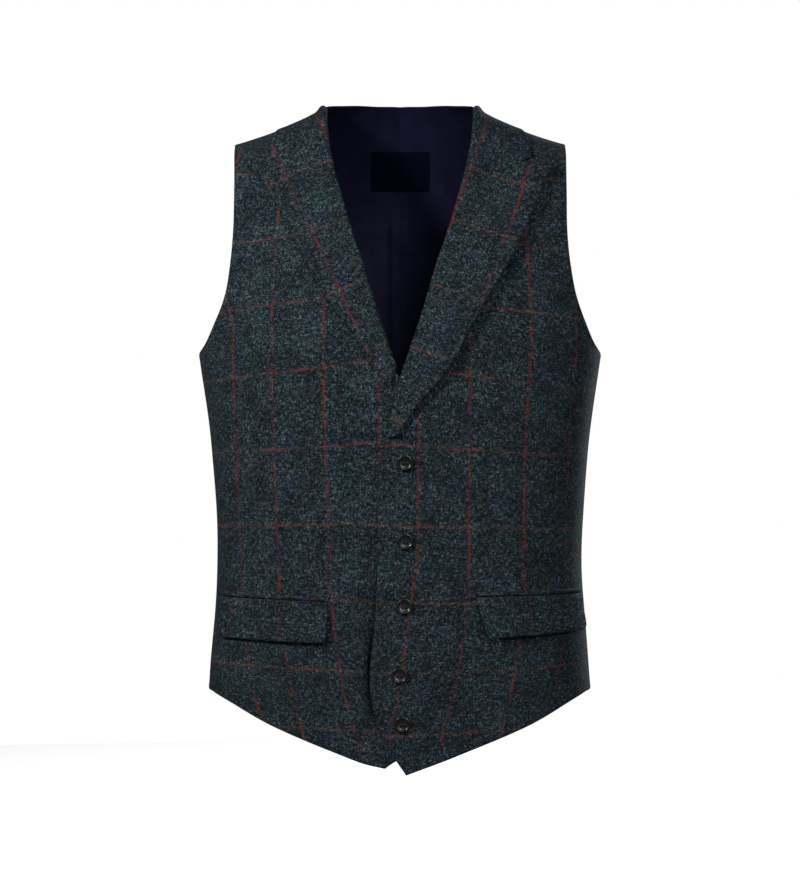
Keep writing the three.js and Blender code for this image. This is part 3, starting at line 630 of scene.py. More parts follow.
# ------------------------------------------------------------------ materials
class Nodes:
    """Short names for building a material's nodes."""

    def __init__(self, name):
        self.material = bpy.data.materials.new(name)
        self.material.use_nodes = True
        self.tree = self.material.node_tree
        self.shader = self.tree.nodes["Principled BSDF"]

    def add(self, kind, **settings):
        made = self.tree.nodes.new(kind)
        for key, value in settings.items():
            setattr(made, key, value)
        return made

    def put(self, socket, value):
        if isinstance(value, bpy.types.NodeSocket):
            self.tree.links.new(value, socket)
        elif isinstance(value, (tuple, list)) and len(value) == 3 and socket.type == "RGBA":
            socket.default_value = (*value, 1)
        else:
            socket.default_value = value

    def math(self, operation, a, b=0.0):
        made = self.add("ShaderNodeMath", operation=operation)
        for socket, value in zip(made.inputs, (a, b)):
            self.put(socket, value)
        return made.outputs[0]

    def plus(self, a, b):
        return self.math("ADD", a, b)

    def minus(self, a, b):
        return self.math("SUBTRACT", a, b)

    def times(self, a, b):
        return self.math("MULTIPLY", a, b)

    def over(self, a, b):
        return self.math("DIVIDE", a, b)

    def wave(self, value, length):
        return self.math("SINE", self.times(value, 2 * math.pi / length))

    def stretched(self, u, v, across, upwards, seed=0.0):
        """Coordinates in which a grain is across by upwards mm."""
        return self.vector(self.over(u, across), self.over(v, upwards), seed)

    def vector(self, x, y, z=0.0):
        made = self.add("ShaderNodeCombineXYZ")
        for socket, value in zip(made.inputs, (x, y, z)):
            self.put(socket, value)
        return made.outputs[0]

    def noise(self, where, scale=1.0, detail=2.0, roughness=0.5):
        made = self.add("ShaderNodeTexNoise", noise_dimensions="3D")
        self.put(made.inputs["Vector"], where)
        made.inputs["Scale"].default_value = scale
        made.inputs["Detail"].default_value = detail
        made.inputs["Roughness"].default_value = roughness
        return made.outputs["Fac"]

    def mix(self, share, a, b, blend="MIX"):
        made = self.add("ShaderNodeMix", data_type="RGBA", blend_type=blend)
        made.clamp_factor = True
        self.put(made.inputs[0], share)
        self.put(made.inputs[6], a)
        self.put(made.inputs[7], b)
        return made.outputs[2]

    def ramp(self, value, stops, interpolation="LINEAR"):
        made = self.add("ShaderNodeValToRGB")
        made.color_ramp.interpolation = interpolation
        elements = made.color_ramp.elements
        while len(elements) < len(stops):
            elements.new(0.5)
        for element, (at, colour) in zip(elements, stops):
            element.position = at
            element.color = (*colour, 1)
        self.put(made.inputs[0], value)
        return made.outputs[0]

    def fit(self, value, low, high, to_low=0.0, to_high=1.0):
        made = self.add("ShaderNodeMapRange", clamp=True)
        for socket, number in zip(made.inputs, (value, low, high, to_low, to_high)):
            self.put(socket, number)
        return made.outputs[0]

    def cloth(self):
        """The cloth's own coordinates in mm, across and up."""
        source = self.add("ShaderNodeUVMap", uv_map="cloth")
        split = self.add("ShaderNodeSeparateXYZ")
        self.put(split.inputs[0], source.outputs[0])
        return self.times(split.outputs[0], 1000.0), self.times(split.outputs[1], 1000.0)

    def place(self):
        source = self.add("ShaderNodeNewGeometry")
        made = self.add("ShaderNodeVectorMath", operation="SCALE")
        self.put(made.inputs[0], source.outputs["Position"])
        made.inputs["Scale"].default_value = 1000.0
        return made.outputs[0]

    def turned(self, where, scale, rotation=(0.0, 0.0, 0.0)):
        made = self.add("ShaderNodeMapping")
        self.put(made.inputs["Vector"], where)
        made.inputs["Scale"].default_value = scale
        made.inputs["Rotation"].default_value = rotation
        return made.outputs[0]

    def bump(self, height, distance, strength):
        made = self.add("ShaderNodeBump")
        made.inputs["Distance"].default_value = distance * MM
        made.inputs["Strength"].default_value = strength
        self.put(made.inputs["Height"], height)
        self.put(self.shader.inputs["Normal"], made.outputs[0])

    def finish(self, colour, roughness, **constants):
        self.put(self.shader.inputs["Base Color"], colour)
        self.put(self.shader.inputs["Roughness"], roughness)
        for key, value in constants.items():
            self.put(self.shader.inputs[key.replace("_", " ")], value)
        return self.material


WEAVE_PITCH = 2.1  # of the twill's diagonal rib
LINE_HALF, LINE_SOFT, LINE_DRIFT = 1.3, 0.6, 5.5  # of the check's lines: half width, soft border, wander
BURGUNDY, RUST = (0.120, 0.012, 0.032), (0.150, 0.026, 0.014)
AMBER, ROSE = (0.150, 0.068, 0.018), (0.120, 0.032, 0.030)


def tweed_material():
    n = Nodes("heather_tweed")
    u, v = n.cloth()
    warp = n.noise(n.stretched(u, v, 1.2, 3.6), 0.8, 2.0, 0.6)
    weft = n.noise(n.stretched(u, v, 3.6, 1.2, 7.3), 0.8, 2.0, 0.6)
    wander = n.times(n.noise(n.vector(u, v, 3.1), 0.25, 1.0), 2.6)
    rib = n.wave(n.plus(n.plus(u, v), wander), WEAVE_PITCH)
    over = n.fit(rib, -0.5, 0.5)
    yarn = n.plus(n.times(warp, over), n.times(weft, n.minus(1.0, over)))
    fuzz = n.noise(n.vector(u, v, 11.0), 0.50, 3.0, 0.68)
    tone = n.plus(n.times(yarn, 0.55), n.times(fuzz, 0.45))
    base = n.ramp(tone, [
        (0.35, (0.0008, 0.0015, 0.0023)),
        (0.44, (0.0034, 0.0062, 0.0084)),
        (0.51, (0.0108, 0.0176, 0.0212)),
        (0.57, (0.0330, 0.0480, 0.0545)),
        (0.65, (0.1120, 0.1380, 0.1470)),
    ])
    tuft = n.noise(n.vector(u, v, 23.0), 0.17, 3.0, 0.65)
    region = n.noise(n.vector(u, v, 29.0), 0.048, 2.0, 0.5)
    mingled = n.plus(n.times(tuft, 0.5), n.times(region, 0.5))
    hue = n.ramp(mingled, [
        (0.38, (0.78, 0.84, 1.38)),
        (0.46, (0.84, 1.00, 1.12)),
        (0.51, (1.28, 0.98, 0.84)),
        (0.56, (0.80, 1.06, 1.04)),
        (0.63, (0.72, 1.20, 0.98)),
    ])
    base = n.mix(0.60, base, hue, "MULTIPLY")
    broad = n.noise(n.vector(u, v, 31.0), 0.038, 3.0)
    shade = n.ramp(broad, [(0.34, (0.74, 0.74, 0.74)), (0.66, (1.26, 1.26, 1.26))])
    base = n.mix(1.0, base, shade, "MULTIPLY")

    fleck = n.add("ShaderNodeTexVoronoi", voronoi_dimensions="3D", feature="F1")
    n.put(fleck.inputs["Vector"], n.stretched(u, v, 1.5, 1.9, 5.0))
    fleck.inputs["Scale"].default_value = 1.0
    spot = n.fit(fleck.outputs["Distance"], 0.42, 0.22)
    pick = n.add("ShaderNodeSeparateColor")
    n.put(pick.inputs[0], fleck.outputs["Color"])
    fleck_colour = n.ramp(pick.outputs[0], [
        (0.0, (0.16, 0.175, 0.18)),
        (0.34, (0.030, 0.070, 0.120)),
        (0.55, (0.022, 0.080, 0.060)),
        (0.74, (0.100, 0.080, 0.032)),
        (0.87, (0.100, 0.022, 0.014)),
    ], "CONSTANT")
    chosen = n.times(spot, n.fit(pick.outputs[1], 0.80, 0.84))
    base = n.mix(n.times(chosen, 0.62), base, fleck_colour)

    def line(coordinate, other, pitch, seed, colours, share):
        """How strongly, and in which colour, the check's lines along one direction show."""
        wobble = n.minus(n.noise(n.vector(coordinate, other, seed), 0.07, 3.0), 0.5)
        moved = n.plus(coordinate, n.times(wobble, LINE_DRIFT))
        whole = n.times(n.math("ROUND", n.over(moved, pitch)), pitch)
        aside = n.math("ABSOLUTE", n.minus(moved, whole))
        inside = n.fit(aside, LINE_HALF + LINE_SOFT, LINE_HALF - LINE_SOFT)
        yarns = n.noise(n.stretched(u, v, 1.2, 1.2, seed + 4), 0.5, 2.0, 0.6)
        woven = n.fit(yarns, 0.42, 0.58, 0.10, 1.0)
        faded = n.fit(n.noise(n.vector(u, v, seed + 9), 0.05, 3.0), 0.38, 0.60, 0.18, 1.0)
        dye = n.fit(n.noise(n.vector(u, v, seed + 13), 0.05, 2.0), 0.42, 0.58)
        amount = n.times(n.times(inside, woven), n.times(faded, share))
        return amount, n.mix(dye, *colours)

    for amount, colour in (
        line(u, v, CHECK_ACROSS, 41.0, (BURGUNDY, RUST), 0.78),
        line(v, u, CHECK_UP, 57.0, (AMBER, ROSE), 0.72),
    ):
        base = n.mix(amount, base, colour)

    n.bump(n.plus(n.times(rib, 0.30), n.times(n.minus(tone, 0.5), 2.6)), 0.35, 0.75)
    return n.finish(
        base, n.fit(tone, 0.35, 0.65, 0.98, 0.80),
        Specular_IOR_Level=0.10, Sheen_Weight=0.035, Sheen_Roughness=0.6, Sheen_Tint=(0.45, 0.60, 0.75),
    )


def satin_material(name, inside=False):
    """inside: lining, with painted light: its colour is painted lighter the lower it lies, standing in for light in
    the shade inside the garment.
    """
    n = Nodes(name)
    u, v = n.cloth()
    streak = n.noise(n.stretched(u, v, 0.5, 9.0), 1.0, 3.0, 0.6)
    mottle = n.noise(n.vector(u, v, 5.0), 0.045, 2.0)
    tone = n.plus(n.times(streak, 0.5), n.times(mottle, 0.5))
    colour = n.ramp(tone, [(0.35, (0.0042, 0.0042, 0.0125)), (0.65, (0.0080, 0.0080, 0.0225))])
    if inside:
        # Painted light: the lining's colour is made lighter the lower it lies, from z -60 mm down to -240 mm, where
        # the garment's inside is in shade.
        height = n.add("ShaderNodeSeparateXYZ")
        n.put(height.inputs[0], n.place())
        low = n.fit(height.outputs[2], -60.0, -240.0)
        painted_light_below = n.ramp(low, [(0.0, (0.95, 0.95, 1.05)), (1.0, (2.3, 2.2, 2.0))])
        colour = n.mix(1.0, colour, painted_light_below, "MULTIPLY")
    ends = n.wave(n.plus(u, n.times(v, 0.2)), 0.55)
    slub = n.noise(n.stretched(u, v, 12.0, 0.4, 9.0), 1.0, 2.0)
    crease = n.noise(n.vector(u, v, 15.0), 0.09, 3.0, 0.55)
    threads = n.plus(n.times(ends, 0.05), n.times(slub, 0.20))
    n.bump(n.plus(threads, n.times(crease, 1.7)), 0.5, 0.55)
    return n.finish(
        colour, n.fit(streak, 0.3, 0.7, 0.42, 0.56),
        Specular_IOR_Level=0.15, Specular_Tint=(0.45, 0.48, 1.0), Sheen_Weight=0.01, Sheen_Roughness=0.4,
        Sheen_Tint=(0.30, 0.30, 0.70), Anisotropic=0.3,
    )


def cotton_material():
    n = Nodes("pocketing_cotton")
    u, v = n.cloth()
    weave = n.times(n.wave(u, 0.8), n.wave(v, 0.8))
    tone = n.plus(n.times(weave, 0.12), n.noise(n.vector(u, v), 0.6, 3.0))
    n.bump(weave, 0.12, 0.6)
    colour = n.ramp(tone, [(0.3, (0.0045, 0.005, 0.012)), (0.7, (0.011, 0.012, 0.026))])
    return n.finish(colour, 0.9, Specular_IOR_Level=0.2)


def label_material():
    n = Nodes("label_weave")
    u, v = n.cloth()
    picks, ends = n.wave(v, 0.45), n.wave(u, 0.45)
    tone = n.plus(n.times(n.times(picks, ends), 0.15), n.noise(n.vector(u, v), 0.5, 2.0))
    n.bump(n.plus(picks, n.times(ends, 0.5)), 0.08, 0.6)
    colour = n.ramp(tone, [(0.3, (0.0008, 0.0013, 0.0052)), (0.7, (0.0014, 0.0023, 0.0100))])
    return n.finish(colour, 0.8, Specular_IOR_Level=0.03)


def horn_material():
    n = Nodes("dark_horn")
    where = n.place()
    figure = n.noise(n.turned(where, (0.55, 0.3, 0.14), (0.0, 0.5, 0.3)), 1.0, 4.0, 0.62)
    cloud = n.noise(where, 0.09, 2.0)
    tone = n.plus(n.times(figure, 0.7), n.times(cloud, 0.3))
    colour = n.ramp(tone, [
        (0.38, (0.0014, 0.0012, 0.0012)),
        (0.52, (0.0032, 0.0027, 0.0024)),
        (0.62, (0.0080, 0.0064, 0.0055)),
        (0.72, (0.0200, 0.0165, 0.0140)),
    ])
    scratch = n.noise(where, 2.2, 4.0, 0.7)
    n.bump(scratch, 0.04, 0.5)
    roughness = n.fit(scratch, 0.3, 0.7, 0.20, 0.34)
    return n.finish(colour, roughness, Specular_IOR_Level=0.40, Coat_Weight=0.22, Coat_Roughness=0.12)


def thread_material():
    n = Nodes("dark_thread")
    twist = n.noise(n.place(), 3.0, 2.0, 0.6)
    n.bump(twist, 0.1, 0.7)
    colour = n.ramp(twist, [(0.35, (0.004, 0.005, 0.007)), (0.65, (0.016, 0.019, 0.024))])
    return n.finish(colour, 0.72, Specular_IOR_Level=0.3)


def steel_material():
    n = Nodes("brushed_steel")
    brush = n.noise(n.turned(n.place(), (0.25, 3.0, 3.0)), 1.2, 3.0, 0.6)
    n.bump(brush, 0.03, 0.5)
    colour = n.ramp(brush, [(0.3, (0.36, 0.36, 0.355)), (0.7, (0.52, 0.52, 0.51))])
    return n.finish(colour, n.fit(brush, 0.3, 0.7, 0.24, 0.40), Metallic=1.0)


tweed = tweed_material()
satin = satin_material("navy_satin")
lining_satin = satin_material("navy_lining", True)
cotton = cotton_material()
label_cloth = label_material()
horn = horn_material()
thread = thread_material()
steel = steel_material()

# ------------------------------------------------------------------ layers, as [inner, outer] distances from the body
LINING = (0.0, 0.8)
FACING = (0.0, 1.9)
POCKET_BAG = (1.15, 1.5)
CLOTH = (2.2, 4.2)
SATIN = (1.6, 2.3)
LABEL = (-2.1, -1.5)
LAPEL_MIDDLE, LAPEL_HALF = 6.6, 1.0
TWEED_RIM, SATIN_RIM = 1.3, 0.7

SHORTEST_SIDE = 0.010  # the frame takes no narrower sheet; only the jets' folded strips are narrower
pieces = {}  # by the CAD node that each stands for


def flat_size(middle):
    """Width, length and area in metres of a sheet laid flat, measured along its middle surface."""
    width = np.linalg.norm(np.diff(middle, axis=1), axis=-1).sum(1).max()
    length = np.linalg.norm(np.diff(middle, axis=0), axis=-1).sum(0).max()
    one, other = middle[1:, 1:] - middle[:-1, :-1], middle[1:, :-1] - middle[:-1, 1:]
    area = np.linalg.norm(np.cross(one, other), axis=-1).sum() / 2
    return width * MM, length * MM, area * MM ** 2


def declare(node):
    """Works out and rounds the size that a sheet was cut to; the result is not passed on."""
    *sides, area = flat_size(middles[node])
    width, length = (max(SHORTEST_SIDE, math.ceil(side * 1e4) / 1e4) for side in sides)
    area = round(min(area, width * length), 5)


def stand_for_node(thing):
    node = thing.name.removesuffix(FINE)
    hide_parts(node)
    pieces[node] = thing


def settle(thing, body="garment"):
    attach(thing, body)
    stand_for_node(thing)


def add_detail(thing, body="garment"):
    """A piece with no CAD node of its own."""
    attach(thing, body)


# ------------------------------------------------------------------ fronts
ROLL_INSET = 3.6


def inset_at_roll(patch, name):
    """The front without the rim that the lapel and collar fold round."""
    shares = np.linspace(0, 1, 65)
    inner = patch(np.zeros(65), shares)
    z = body_point(inner[:, 0], inner[:, 1])[:, 2]
    widths = line_lengths(patch, 65, True)
    start = LAPEL_START[name][1]
    inset = ROLL_INSET * smooth(start - 2, start + 16, z) / widths
    return lambda u, v: patch(np.interp(v, shares, inset) * (1 - u) + u, v)


def button_basis(x, z, offset):
    """A place on the front, and the directions left, outwards and down there."""
    place = locate(x, z)
    outwards = body_normal(place[0], place[1])
    down = unit(np.cross((1.0, 0, 0), outwards))
    left = np.cross(outwards, down)
    return on_body(place, offset), left, outwards, down


def keyhole_outline():
    """A buttonhole's outline: a round eye for the shank and a straight slot."""
    start = math.asin(SLOT_HALF / EYE_RADIUS)
    angles = np.linspace(start, 2 * np.pi - start, 19)
    eye = [(EYE_RADIUS * math.cos(a), EYE_RADIUS * math.sin(a)) for a in angles]
    return np.array(eye + [(SLOT_END, -SLOT_HALF), (SLOT_END + 0.4, 0), (SLOT_END, SLOT_HALF)])


EYE_RADIUS, SLOT_HALF, SLOT_END = 2.1, 0.2, 15.0
KEYHOLE_DEPTH = (-7.0, 5.0)
KEYHOLE = keyhole_outline()


def prisms():
    """The buttonholes as closed prisms that pass through the cloth and the facing."""
    vertices, faces = [], []
    count = len(KEYHOLE)
    for x, z in BUTTONS:
        centre, left, outwards, down = button_basis(x, z, CLOTH[1] + OVERLAP_LIFT)
        base = len(vertices)
        vertices += [centre + left * a + down * b + outwards * c for c in KEYHOLE_DEPTH for a, b in KEYHOLE]
        faces.append([base + k for k in range(count)])
        faces.append([base + count + k for k in reversed(range(count))])
        for k in range(count):
            low, after = base + k, base + (k + 1) % count
            faces.append([low, low + count, after + count, after])
    mesh = bpy.data.meshes.new("keyholes")
    mesh.from_pydata((np.array(vertices) * MM).tolist(), [], faces)
    return face_outwards(mesh)


def face_outwards(mesh):
    build = bmesh.new()
    build.from_mesh(mesh)
    bmesh.ops.recalc_face_normals(build, faces=build.faces)
    build.to_mesh(mesh)
    build.free()
    return mesh


def cut_away(thing, mesh):
    """Takes a closed mesh out of a piece."""
    cutter = bpy.data.objects.new(mesh.name, mesh)
    bpy.context.scene.collection.objects.link(cutter)
    modifier = thing.modifiers.new("cut", "BOOLEAN")
    modifier.operation, modifier.solver, modifier.object = "DIFFERENCE", "EXACT", cutter
    made = bpy.data.meshes.new_from_object(thing.evaluated_get(bpy.context.evaluated_depsgraph_get()))
    thing.modifiers.clear()
    thing.data = made
    bpy.data.objects.remove(cutter)


for name, side in SIDES.items():
    patch, lift = front_patch(name), overlap_lift if side > 0 else no_lift
    outer = inset_at_roll(patch, name)
    cloth_of, relief = front_cloth(name), front_relief(name)
    front = sheet_on(f"front_{name}", outer, CLOTH, cloth_of, relief, tweed, lift, rim=TWEED_RIM, swell=0.35)
    inner = strip(outer, 0, FACING_SHARE - FACING_GAP)
    facing = sheet_on(f"facing_{name}", inner, FACING, cloth_of, relief, tweed, lift)
    if side > 0:
        cut_away(front, prisms())
        cut_away(facing, prisms())
    lining = sheet_on(f"lining_front_{name}", strip(outer, FACING_SHARE + FACING_GAP, 1), LINING, plain_cloth, relief,
                      lining_satin, lift, 4.0, SATIN_RIM)
    settle(front)
    settle(facing)
    settle(lining)

for name in SIDES:
    patch = back_patch(name)
    back = sheet_on(f"back_{name}", patch, SATIN, plain_cloth, back_relief, satin, pitch=2.2, rim=SATIN_RIM)
    lining = sheet_on(f"back_lining_{name}", patch, LINING, plain_cloth, lining_relief, lining_satin,
                      pitch=2.6, rim=SATIN_RIM)
    settle(back)
    settle(lining)

# ------------------------------------------------------------------ lapels and collar, rolled over the front's edge
ROLL_SECTION = [(3.4, 0.0), (2.6, 0.0), (1.5, 0.25), (0.55, 1.3), (0.1, 2.85), (0.55, 4.4), (1.5, 5.35), (2.8, 5.7)]
ROLL_BASE = 0.9
FOLD_LENGTH = 14.0
LEAF_PITCH = 2.6


def more_round_fold(shares, length):
    """Puts 0.4 of the columns round the fold, which is the first stretch of each row."""
    if length <= 30:
        return shares
    fold = min(0.5, FOLD_LENGTH / length)
    return np.where(shares < 0.4, shares / 0.4 * fold, fold + (shares - 0.4) / 0.6 * (1 - fold))


def rolled(name, patch, cloth, relief, lift, stand):
    """A leaf of tweed that folds round the front's edge and lies on the front."""
    v_nominal = np.linspace(0, 1, 97)
    widths = np.interp(v_nominal, np.linspace(0, 1, 33), line_lengths(patch, 33, True))
    height = line_lengths(patch, 33, False).mean()
    v = crowded([height], int(round(height / LEAF_PITCH)), TWEED_RIM)[0]
    width = np.interp(v, v_nominal, widths)
    columns = int(round(max(width) / LEAF_PITCH)) + 12
    section = []
    for share, wide in zip(v, width):
        scale = float(np.clip(wide / FOLD_LENGTH, 0.35, 1))
        fold = [(a * scale, ROLL_BASE + b) for a, b in ROLL_SECTION]
        last, top = fold[-1]
        flat = [(last + (wide - last) * s, top + stand(s, share)) for s in (0.15, 0.3, 0.5, 0.7, 0.85, 1.0)]
        curve = curve_through(fold + flat)
        length = curve_length(curve, 200)
        shares = more_round_fold(crowded([length], columns, TWEED_RIM)[0], length)
        ends = RIM_STEPS * TWEED_RIM / length
        shares[:5], shares[-5:] = ends, 1 - ends[::-1]
        section.append(curve(shares))
    cross, offset = np.moveaxis(np.array(section), -1, 0)
    place = patch(cross / width[:, None], v[:, None] + 0 * cross)
    return ribbon(name, place, offset + lift(place), relief, LAPEL_HALF, cloth, tweed, swell=0.18)


def lapel_patch(name):
    side = SIDES[name]
    start = LAPEL_START[name]
    knots = [knot for knot in ROLL_LINE if start[1] < knot[1] < GORGE_ROLL[1] - 2]
    inner = edge(mirror([start] + knots + [GORGE_ROLL], side))
    outer = edge(mirror(LAPEL_EDGE[name] + [PEAK], side))
    gorge = edge(mirror([GORGE_ROLL, NOTCH], side))
    top = edge(mirror([NOTCH, (124, -65.2), PEAK], side))
    low = straight(inner(np.zeros(())), outer(np.zeros(())))
    return patch_between(inner, outer, low, joined(gorge, top, 0.6))


def collar_patch(name):
    side = SIDES[name]
    low_roll, low_notch = (GORGE_ROLL[0], GORGE_ROLL[1] - 0.9), (NOTCH[0] - 4, NOTCH[1] - 1.2)
    neck = shoulder_place(side * NECK_X, "front")
    inner = edge_from_to(spots(mirror([low_roll], side))[0], mirror([(66.5, -46)], side), neck)
    corner = spots(mirror([COLLAR_CORNER], side))[0]
    outer = edge_from_to(corner, mirror([(119.5, -42)], side), shoulder_place(side * 111, "front"))
    low = edge(mirror([low_roll, low_notch, (112, -65.8), COLLAR_CORNER], side))
    return patch_between(inner, outer, low, straight(inner(np.ones(())), outer(np.ones(()))))


def pressed(share, along):
    return 0.3 * math.sin(math.pi * share) - 2.6 * float(smooth(0.45, 1.0, np.asarray(along)))


def left_stand(share, along):
    """The left lapel stands off more the higher it is, and bows out near its peak."""
    free = float(0.35 + 0.65 * smooth(0.0, 0.3, along))
    return 6.6 * share ** bowing(along) * free + 0.4 * math.sin(math.pi * share)


def right_stand(share, along):
    """The right lapel stands off most a third of the way up."""
    free = float(0.3 + 0.7 * bell(along, 0.3, 0.26))
    return 3.2 * share ** bowing(along) * free + 0.4 * math.sin(math.pi * share)


def bowing(along):
    return float(1.5 + 1.3 * smooth(0.72, 0.95, along))


for name, side in SIDES.items():
    lift, stand = (overlap_lift, left_stand) if side > 0 else (no_lift, right_stand)
    cloth_of = lapel_cloth(name)
    lapel = rolled(f"lapel_{name}", lapel_patch(name), cloth_of, front_relief(name, False), lift, stand)
    collar = rolled(f"collar_{name}", collar_patch(name), cloth_of, flat_relief, no_lift, pressed)
    for thing in (lapel, collar):
        stand_for_node(thing)

# ------------------------------------------------------------------ pockets
JET_HIGH = 5.5
# Each pocket's ends, its slit's height at them, and the flap's depth at its inner end, middle and outer end.
POCKETS = {
    "left": {"ends": (70.5, 167), "slit": (-472, -470), "drop": (38.5, 37.0, 34.0), "slant": 8.0},
    "right": {"ends": (66.5, 163), "slit": (-476.5, -473), "drop": (38.0, 38.5, 37.5), "slant": 0.5},
}


def pocket_root(name, share):
    start, end = POCKETS[name]["slit"]
    return start + (end - start) * share


def pocket_grid(name, shares, drops):
    """Places at shares along a pocket and depths below its root line."""
    start, end = POCKETS[name]["ends"]
    slant = POCKETS[name]["slant"] * np.clip(drops / 35, 0, 1) * (1 - shares)
    return locate(SIDES[name] * (start + (end - start) * shares + slant), pocket_root(name, shares) - drops)


def flap_foot(name, share, wide):
    """Depth of the flap along its width, with rounded lower corners."""
    drop = np.interp(share, [0, 0.5, 1], POCKETS[name]["drop"])
    for corner, radius in ((share * wide, 6.0), ((1 - share) * wide, 4.0)):
        near = np.clip(1 - corner / radius, 0, 1)
        drop = drop - radius * (1 - np.sqrt(np.maximum(0, 1 - near ** 2)))
    return drop


FLAP_TUCK = 0.3
FLAP_CHECK = {"left": (58.5, 0.0, 0.79), "right": (46.0, 4.5, 0.93)}

for name, side in SIDES.items():
    cloth_of, relief = front_cloth(name), front_relief(name)
    wide = line_lengths(lambda u, v: pocket_grid(name, u, 0 * v), 2, True).mean()
    for which, sign, lip, rise in (("upper", -1, 1.4, 0.7), ("lower", 1, 0.9, 0.0)):
        section = [(JET_HIGH, 4.35), (3.6, 4.5), (2.2, 4.6), (lip, 4.95 + rise / 2),
                   (2.2, 5.3 + rise), (3.6, 5.2 + rise), (JET_HIGH, 4.75)]
        path = crowd_path(section, 0.7, 0.35)
        shares = crowded([wide], 48, 0.4)[0]
        place = pocket_grid(name, shares[:, None] + 0 * path[:, 0], sign * path[:, 0] + 0 * shares[:, None])
        offset = path[:, 1] + 0 * shares[:, None]
        jet = ribbon(f"pocket_jet_{which}_{name}", place, offset, relief, 0.3, cloth_of, tweed, rim=0.4)
        settle(jet)

    shares = crowded([wide], 44, TWEED_RIM)[0]
    foot = flap_foot(name, shares, wide) + FLAP_TUCK
    down = crowded([34.0], 18, TWEED_RIM)[0]
    drops = down[:, None] * foot[None, :] - FLAP_TUCK
    place = pocket_grid(name, shares[None, :] + 0 * drops, drops)
    # The flap comes out from under the upper jet, and its free corner stands off the most.
    stand_off = 5.8 if side > 0 else 2.2
    offset = 4.9 + 2.3 * smooth(-FLAP_TUCK, 5, drops) + stand_off * smooth(8, 34, drops) * (1 - 0.5 * shares)
    offset = offset + 2.8 * bell(shares, 0, 0.14) * smooth(2, 26, drops)
    offset = offset + 0.5 * np.sin(shares * 7 + side) * smooth(6, 30, drops) * (1 - shares)

    def flap_cloth(place, point, name=name, side=side, shares=shares, drops=drops, wide=wide):
        start, lean, ease = FLAP_CHECK[name]
        across = shares[None, :] * wide - start - lean * drops / 36
        return np.stack([side * across * ease, -drops - 12.0], -1)

    flap = ribbon(f"pocket_flap_{name}", place, offset, front_relief(name, False), 1.0, flap_cloth, tweed, swell=0.2)
    stand_for_node(flap)

    def bag_place(u, v, name=name):
        low = -552 + 12 * u
        high = pocket_root(name, u) - 8
        start, end = POCKETS[name]["ends"]
        return locate(SIDES[name] * (start + 6 + (end - start - 12) * u), low + (high - low) * v)

    bag = sheet_on(f"pocket_bag_{name}", bag_place, POCKET_BAG, plain_cloth, relief, cotton, pitch=4.0, rim=0.4)
    settle(bag)

# ------------------------------------------------------------------ label inside the back neck
LABEL_HALF_X, LABEL_HALF_Z, LABEL_Z = 28, 19, -62.5


def across_back(x, z):
    """A place on the back, with its turn counted the same way on both sides of the centre."""
    spot = locate(x, z, "back")
    return np.stack([np.where(spot[..., 0] < 0, spot[..., 0] + 2 * np.pi, spot[..., 0]), spot[..., 1]], -1)


def label_place(u, v):
    return across_back(LABEL_HALF_X * (2 * u - 1), LABEL_Z + LABEL_HALF_Z * (2 * v - 1))


def label_cloth_of(place, point):
    return np.stack([point[..., 0], point[..., 2]], -1)


label = sheet_on("neck_label", label_place, LABEL, label_cloth_of, flat_relief, label_cloth, pitch=1.5, rim=0.5)
settle(label)


# ------------------------------------------------------------------ buttons, their threads and the buttonholes' stitches
BUTTON_PROFILE = [
    (0, 0), (3.5, -0.02), (5.4, 0.1), (6.6, 0.55), (7.3, 1.2), (7.5, 1.9), (7.35, 2.55), (6.95, 3.0), (6.4, 3.18),
    (5.9, 3.1), (5.45, 2.75), (5.1, 2.42), (4.5, 2.25), (3.2, 2.14), (0, 2.1),
]
HOLE_PITCH, HOLE_RADIUS = 3.4, 0.95


def drill():
    """Four rods, where a button's holes go."""
    build = bmesh.new()
    turn = Matrix.Rotation(math.pi / 2, 4, "X")
    for a in (-0.5, 0.5):
        for b in (-0.5, 0.5):
            spot = Matrix.Translation((a * HOLE_PITCH * MM, 1.5 * MM, b * HOLE_PITCH * MM))
            bmesh.ops.create_cone(build, cap_ends=True, segments=20, radius1=HOLE_RADIUS * MM,
                                  radius2=HOLE_RADIUS * MM, depth=9 * MM, matrix=spot @ turn)
    mesh = bpy.data.meshes.new("drill")
    build.to_mesh(mesh)
    build.free()
    return mesh


def button_mesh(name, basis):
    profile = curve_through(BUTTON_PROFILE)(np.linspace(0, 1, 41))
    profile[:, 0] = np.maximum(profile[:, 0], 0)
    turns = 72
    vertices, faces = [(0, profile[0, 1], 0)], []
    angle = np.linspace(0, 2 * np.pi, turns, endpoint=False)
    for radius, height in profile[1:-1]:
        vertices += [(radius * math.cos(a), height, radius * math.sin(a)) for a in angle]
    vertices.append((0, profile[-1, 1], 0))
    rings = len(profile) - 2
    for k in range(turns):
        after = (k + 1) % turns
        faces.append([0, 1 + k, 1 + after])
        for r in range(rings - 1):
            a = 1 + r * turns
            faces.append([a + k, a + turns + k, a + turns + after, a + after])
        top = 1 + (rings - 1) * turns
        faces.append([top + k, len(vertices) - 1, top + after])
    thing = add_mesh(name, np.array(vertices) * MM, faces, horn)
    face_outwards(thing.data)
    cut_away(thing, drill())
    origin, left, outwards, down = basis
    rows = [[*row, o * MM] for row, o in zip(np.stack([left, outwards, down], 1), origin)]
    thing.data.transform(Matrix(rows + [[0, 0, 0, 1]]))
    thing.data.polygons.foreach_set("use_smooth", [True] * len(thing.data.polygons))
    mark_sharp(thing.data, 35)
    return thing


def mark_sharp(mesh, degrees):
    """Marks edges sharper than an angle, so that shading breaks there."""
    build = bmesh.new()
    build.from_mesh(mesh)
    for e in build.edges:
        if len(e.link_faces) == 2 and e.calc_face_angle(0) > math.radians(degrees):
            e.smooth = False
    build.to_mesh(mesh)
    build.free()


